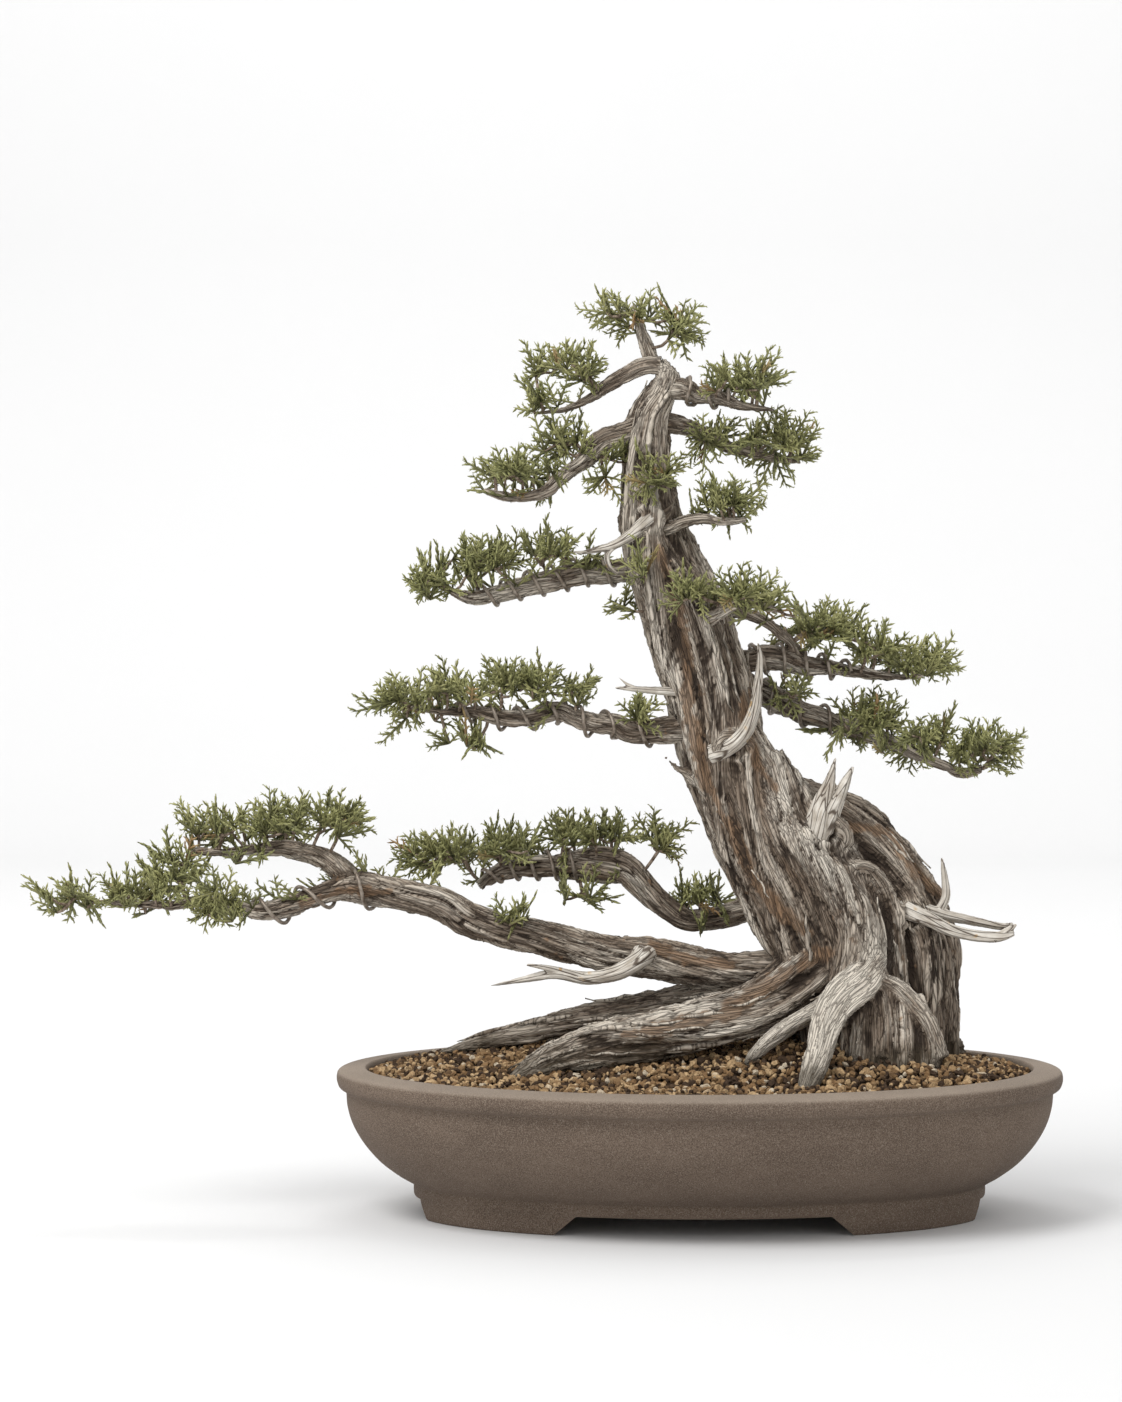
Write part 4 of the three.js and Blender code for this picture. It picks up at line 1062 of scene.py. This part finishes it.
def oval_rings(profile):
    """The pot's oval at each [inset, height] of a profile, a little uneven as clay is."""
    angles = 2 * np.pi * np.arange(POT_SEGMENTS) / POT_SEGMENTS
    rings = []
    for inset, height in profile:
        a, b = POT_LENGTH / 2 - inset, POT_DEPTH / 2 - inset * INSET_DEPTH_RATIO
        rings.append(np.stack([a * np.cos(angles), b * np.sin(angles), np.full_like(angles, height)], 1))
    rings = np.array(rings) * MM
    flat = rings.reshape(-1, 3)
    uneven = 0.35 * MM * noise(flat / (60 * MM), 4) + 0.12 * MM * noise(flat / (14 * MM), 8)
    out = unit(flat * (1, 1, 0))
    return (flat + out * uneven[:, None]).reshape(rings.shape) + POT_MIDDLE


# the wall's outline, from under the floor out, up over the rim and back in: [inset, height] in mm
profile = [
    [120, FOOT_HEIGHT], [90, FOOT_HEIGHT], [53, FOOT_HEIGHT], [51.3, 13.6],
    *curve([[51, 14.5], [50.8, 17.5], [51, 20.2]], 3), [50.2, 21.4],
    *curve([[48, 22.6], [39, 28], [28, 36.5], [18, 48], [11, 60], [7.4, 72], [6.4, 81.5]], 6),
    [6, 82.8],
    *curve([[4.6, 83.6], [1.8, 85.2], [0.3, 88.5], [0, 92], [0.5, 94.6], [1.7, 96], [5, 96.8],
            [17, 98]], 4),
    [18.6, 97.9],
    *curve([[19.3, 97.2], [20, 93], [21.5, 78], [25, 58], [37, 39], [64, 25]], 4),
    [90, 25], [120, 25],
]
clay = Paint("unglazed_stoneware", roughness=0.88, specular=0.25)
spot = clay.position()
grain = clay.noise(spot, 1500, detail=2)
speck = clay.noise(spot, 900, detail=0) + grain * 0.4
cloud = clay.noise(spot.stretched(1, 1, 2.2), 14, detail=5, roughness=0.6)
streak = clay.noise(spot.stretched(0.25, 0.25, 6), 60, detail=3)
firing = (cloud * 0.7 + streak * 0.12 + grain * 0.3).ramp(0.4, 0.75)
body = clay.mix(firing, (0.115, 0.082, 0.06), (0.165, 0.122, 0.092))
body = clay.mix(grain.ramp(0.5, 0.68) * 0.6, body, (0.27, 0.22, 0.175))
body = clay.mix(grain.ramp(0.5, 0.36) * 0.5, body, (0.05, 0.037, 0.028))
body = clay.mix(speck.ramp(0.93, 1.0) * 0.3, body, (0.34, 0.29, 0.23))
# Painted light: the flat top of the rim, above 93.5 mm, is made lighter, broken up by noise.
rim_top_light = clay.level().ramp(POT_MIDDLE[2] + 0.0935, POT_MIDDLE[2] + 0.0965) * (cloud * 0.5 + grain * 0.5)
body = clay.mix(rim_top_light, body, (0.36, 0.3, 0.24))
pot_material = clay.finish(body, roughness=cloud.ramp(0.3, 0.7, 0.8, 0.95),
                           bump=grain * 0.6 + cloud * 0.5, depth=0.4 * MM)


def solid_piece(name, points, faces):
    """A closed piece, turned right side out so that it can be cut, or cut with."""
    made = mesh_piece(name, points, faces, pot_material)
    shell = bmesh.new()
    shell.from_mesh(made.data)
    bmesh.ops.recalc_face_normals(shell, faces=shell.faces)
    shell.to_mesh(made.data)
    shell.free()
    return made


def carve(target, tool, operation="DIFFERENCE"):
    step = target.modifiers.new(operation, "BOOLEAN")
    step.operation, step.object, step.solver = operation, tool, "EXACT"
    with bpy.context.temp_override(object=target, active_object=target):
        bpy.ops.object.modifier_apply(modifier=step.name)
    bpy.data.objects.remove(tool)


def prism(outline, direction, reach):
    """A closed prism: the outline's corners swept both ways along direction."""
    outline = np.array(outline, dtype=float) * MM + POT_MIDDLE
    sweep = np.array(direction) * reach * MM
    return skin(np.array([outline - sweep, outline + sweep]))


pot = solid_piece("stoneware_pot", *skin(oval_rings(profile)))
foot_section = [[51.6, 14.5], [51.7, 9], [52.4, 0.9], [53.3, 0], [76, 0], [77, 0.8], [77, 14.5]]
feet = solid_piece("feet", *skin(oval_rings(foot_section), closed=True))
TOP, GROUND = FOOT_HEIGHT, -2
for outline, way in (
    ([[-99, 0, GROUND], [99, 0, GROUND], [82, 0, TOP], [-82, 0, TOP]], (0, 1, 0)),
    ([[0, 34, GROUND], [0, -34, GROUND], [0, -24, TOP], [0, 24, TOP]], (1, 0, 0)),
):
    carve(feet, solid_piece("gap", *prism(outline, way, POT_LENGTH)))
carve(pot, feet, "UNION")
HOLE_RADIUS, HOLES_AT = 14, (-78, 78)
ring = 2 * np.pi * np.arange(40) / 40
for x in HOLES_AT:
    hole = np.stack([x + HOLE_RADIUS * np.cos(ring), HOLE_RADIUS * np.sin(ring),
                     np.full_like(ring, 18)], 1)
    carve(pot, solid_piece("hole", *prism(hole, (0, 0, 1), 15)))
round_edges = pot.modifiers.new("round_edges", "BEVEL")
round_edges.width = 0.7 * MM
round_edges.segments = 2
round_edges.limit_method = "ANGLE"
round_edges.angle_limit = math.radians(38)
belongs(pot, "stoneware", "pot")

# ---- Soil and granules -----------------------------------------------------------------------------
# Fired clay crumbs sieved to a few millimetres, tipped over darker planting mix round the roots. Each is
# a ball chipped flat on many sides; they lie in two layers, in four bands from front to back.

SURFACE_A, SURFACE_B = POT_LENGTH / 2 - 19, POT_DEPTH / 2 - 19
SOIL_EDGE, SOIL_RISE = 95, 28
HEAP_RISE, HEAP_AT, HEAP_REACH = 14, (110, -35), (70, 45)


def planting_height(x, y):
    """The surface in mm: just under the rim at the edge, mounded behind the middle and at the roots."""
    out = (x / SURFACE_A) ** 2 + (y / SURFACE_B) ** 2
    beside, before = (x - HEAP_AT[0]) / HEAP_REACH[0], (y - HEAP_AT[1]) / HEAP_REACH[1]
    heaped = HEAP_RISE * np.exp(-(beside**2) - before**2)
    return SOIL_EDGE + SOIL_RISE * np.maximum(0, 1 - out) * np.clip(0.6 + 0.4 * y / 80, 0.1, 1) + heaped


def crumbs(random, count, level):
    """Kinds of angular crumb, about one unit across: each an icosphere chipped flat on many sides."""
    kinds = []
    for _ in range(count):
        ball = bmesh.new()
        bmesh.ops.create_icosphere(ball, subdivisions=level, radius=0.5)
        points = np.array([tuple(v.co) for v in ball.verts])
        faces = np.array([[v.index for v in f.verts] for f in ball.faces])
        ball.free()
        for _ in range(8):
            way = unit(random.normal(0, 1, 3))
            points -= np.maximum(points @ way - random.uniform(0.26, 0.4), 0)[:, None] * way
        points *= random.uniform(0.6, 1.3, 3)
        points += 0.025 * random.normal(0, 1, points.shape)
        kinds.append((points, faces))
    return kinds


earth = Paint("clay_granules", roughness=0.95, specular=0.15)
own = earth.attribute("own")
grit = earth.noise(earth.position(), 900, detail=4)
tan = earth.mix(own.ramp(0.22, 0.42), (0.05, 0.032, 0.021), (0.25, 0.15, 0.072))
tan = earth.mix(own.ramp(0.5, 0.9), tan, (0.56, 0.39, 0.215))
tan = earth.mix(own.ramp(0.94, 0.97), tan, (0.62, 0.53, 0.4))
earth_material = earth.finish(earth.mix(grit.ramp(0.35, 0.65) * 0.4, tan, (0.09, 0.058, 0.036)),
                              bump=grit, depth=0.8 * MM)

grain_random = np.random.default_rng(8)
KINDS = {0: crumbs(grain_random, 10, 2), 1: crumbs(grain_random, 6, 1)}
rows = []
for layer, pitch, sunk in ((0, 4.5, 0.0), (1, 4.9, 2.6)):
    for j, y in enumerate(np.arange(-SURFACE_B, SURFACE_B, pitch * 0.87)):
        for x in np.arange(-SURFACE_A, SURFACE_A, pitch) + (j % 2) * pitch / 2:
            rows.append((x, y, sunk, layer))
rows = np.array(rows)
rows[:, :2] += grain_random.normal(0, 1.0, (len(rows), 2))
rows = rows[((rows[:, :2] / (SURFACE_A - 3.5, SURFACE_B - 3.5)) ** 2).sum(1) < 1]
sizes = np.clip(grain_random.lognormal(math.log(4.7), 0.26, len(rows)), 2.8, 7.5)
heights = planting_height(rows[:, 0], rows[:, 1]) - rows[:, 2] - sizes * 0.35
heights += grain_random.normal(0, 0.7, len(rows))
spots = np.stack([rows[:, 0], rows[:, 1], heights], 1) * MM + POT_MIDDLE
inside_wood = np.min([limb.flow(spots)[0] for limb in TRUNK + ROOTS], axis=0) < -1.5 * MM
spots, sizes, layers = spots[~inside_wood], sizes[~inside_wood], rows[~inside_wood, 3].astype(int)
bands = np.array_split(np.argsort(spots[:, 1]), 4)
for label, members in zip(("front", "mid_front", "mid_back", "back"), bands):
    parts, tints_and_gap_shade = [], []
    for i in members:
        kinds = KINDS[layers[i]]
        points, faces = kinds[grain_random.integers(len(kinds))]
        turn = np.linalg.qr(grain_random.normal(0, 1, (3, 3)))[0]
        turn *= np.sign(np.linalg.det(turn))
        parts.append((points @ turn * sizes[i] * MM + spots[i], faces))
        # The lower layer's tint is held near 0, its darkest brown: painted shade in the gaps between the
        # top granules. The top layer's tint is random.
        tints_and_gap_shade.append(np.full(len(points), grain_random.random() * (1 - 0.8 * layers[i])))
    heap = mesh_piece(f"granules_{label}", *stacked(parts), earth_material, smooth=False,
                      own=np.concatenate(tints_and_gap_shade))
    belongs(heap, "granules", "gravel")

loam = Paint("planting_mix", roughness=0.95, specular=0.1)
lumps = loam.noise(loam.position(), 240, detail=5)
loam_material = loam.finish(loam.mix(lumps.ramp(0.35, 0.7), (0.03, 0.02, 0.013), (0.14, 0.09, 0.055)),
                            bump=lumps, depth=2 * MM)


def refinish(node, material):
    """Gives a CAD node its finish. Its shape stays as it is."""
    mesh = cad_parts[node].data
    mesh.materials.clear()
    mesh.materials.append(material)


refinish("soil", loam_material)

# ---- Drainage --------------------------------------------------------------------------------------
# Black plastic mesh over each drain hole, held by a bent aluminium wire. Both keep the CAD's shape and
# take their finish here.

plastic = Paint("black_mesh_plastic", roughness=0.55)
scuff = plastic.noise(plastic.position(), 500, detail=3)
plastic_material = plastic.finish(plastic.mix(scuff, (0.012, 0.013, 0.012), (0.045, 0.047, 0.043)),
                                  roughness=scuff.ramp(0.2, 0.8, 0.4, 0.7), bump=scuff, depth=0.1 * MM)
for side in ("left", "right"):
    for node, material in (("drain_screen", plastic_material), ("screen_clip", wire_material)):
        refinish(f"{node}_{side}", material)

# ---- Stage, light and camera -----------------------------------------------------------------------
# A white sweep, and a large soft key light from the upper left, in a bright white room. A long lens
# stands three metres in front of the pot, a little to its left, and looks slightly down.

paper = Paint("white_paper", roughness=0.9, specular=0.1)
fibres = paper.noise(paper.position(), 3, detail=2)
paper_material = paper.finish(paper.mix(fibres, (0.725, 0.725, 0.725), (0.74, 0.74, 0.74)))
sweep_line = [[-4.5, 0.0]] + [[3.2 + 0.9 * math.sin(a), 0.9 - 0.9 * math.cos(a)]
                              for a in np.linspace(0, math.pi / 2, 24)] + [[4.1, 5.0]]
floor_z = cad_box[0][2]
sweep = np.array([[[x, y, floor_z + z] for x in (-6, 6)] for y, z in sweep_line])
k = np.arange(len(sweep_line) - 1) * 2
backdrop = mesh_piece("backdrop", sweep.reshape(-1, 3), np.stack([k, k + 1, k + 3, k + 2], 1),
                      paper_material)


def soft_light(name, place, aim, size, watts):
    lamp = bpy.data.lights.new(name, "AREA")
    lamp.shape = "DISK"
    lamp.size = size
    lamp.energy = watts
    made = placed(name, lamp)
    made.location = place
    made.rotation_euler = (Vector(aim) - Vector(place)).to_track_quat("-Z", "Y").to_euler()


KEY_WATTS, BACKDROP_WATTS, ROOM_BRIGHTNESS, LOOKS_DOWN = 49, 60, 0.92, 2.2
aim = (0, 0, 0.3)
soft_light("key", (-1.2, -1.3, 2.4), aim, 1.5, KEY_WATTS)
soft_light("backdrop_light", (0, 1.2, 3.4), (0, 4.0, 1.6), 1.6, BACKDROP_WATTS)
world = bpy.data.worlds.new("white_room")
world.use_nodes = True
world.node_tree.nodes["Background"].inputs["Color"].default_value = (1.0, 1.0, 1.0, 1.0)
world.node_tree.nodes["Background"].inputs["Strength"].default_value = ROOM_BRIGHTNESS
bpy.context.scene.world = world
bpy.context.scene.view_settings.view_transform = "Standard"

camera = placed("camera", bpy.data.cameras.new("camera"))
camera.location = POT_MIDDLE + np.array([-0.0916, -3.0, 0.455])
camera.rotation_euler = (math.radians(90 - LOOKS_DOWN), 0, 0)
camera.data.lens = 116.8
camera.data.sensor_width = 36
camera.data.clip_end = 20
bpy.context.scene.camera = camera
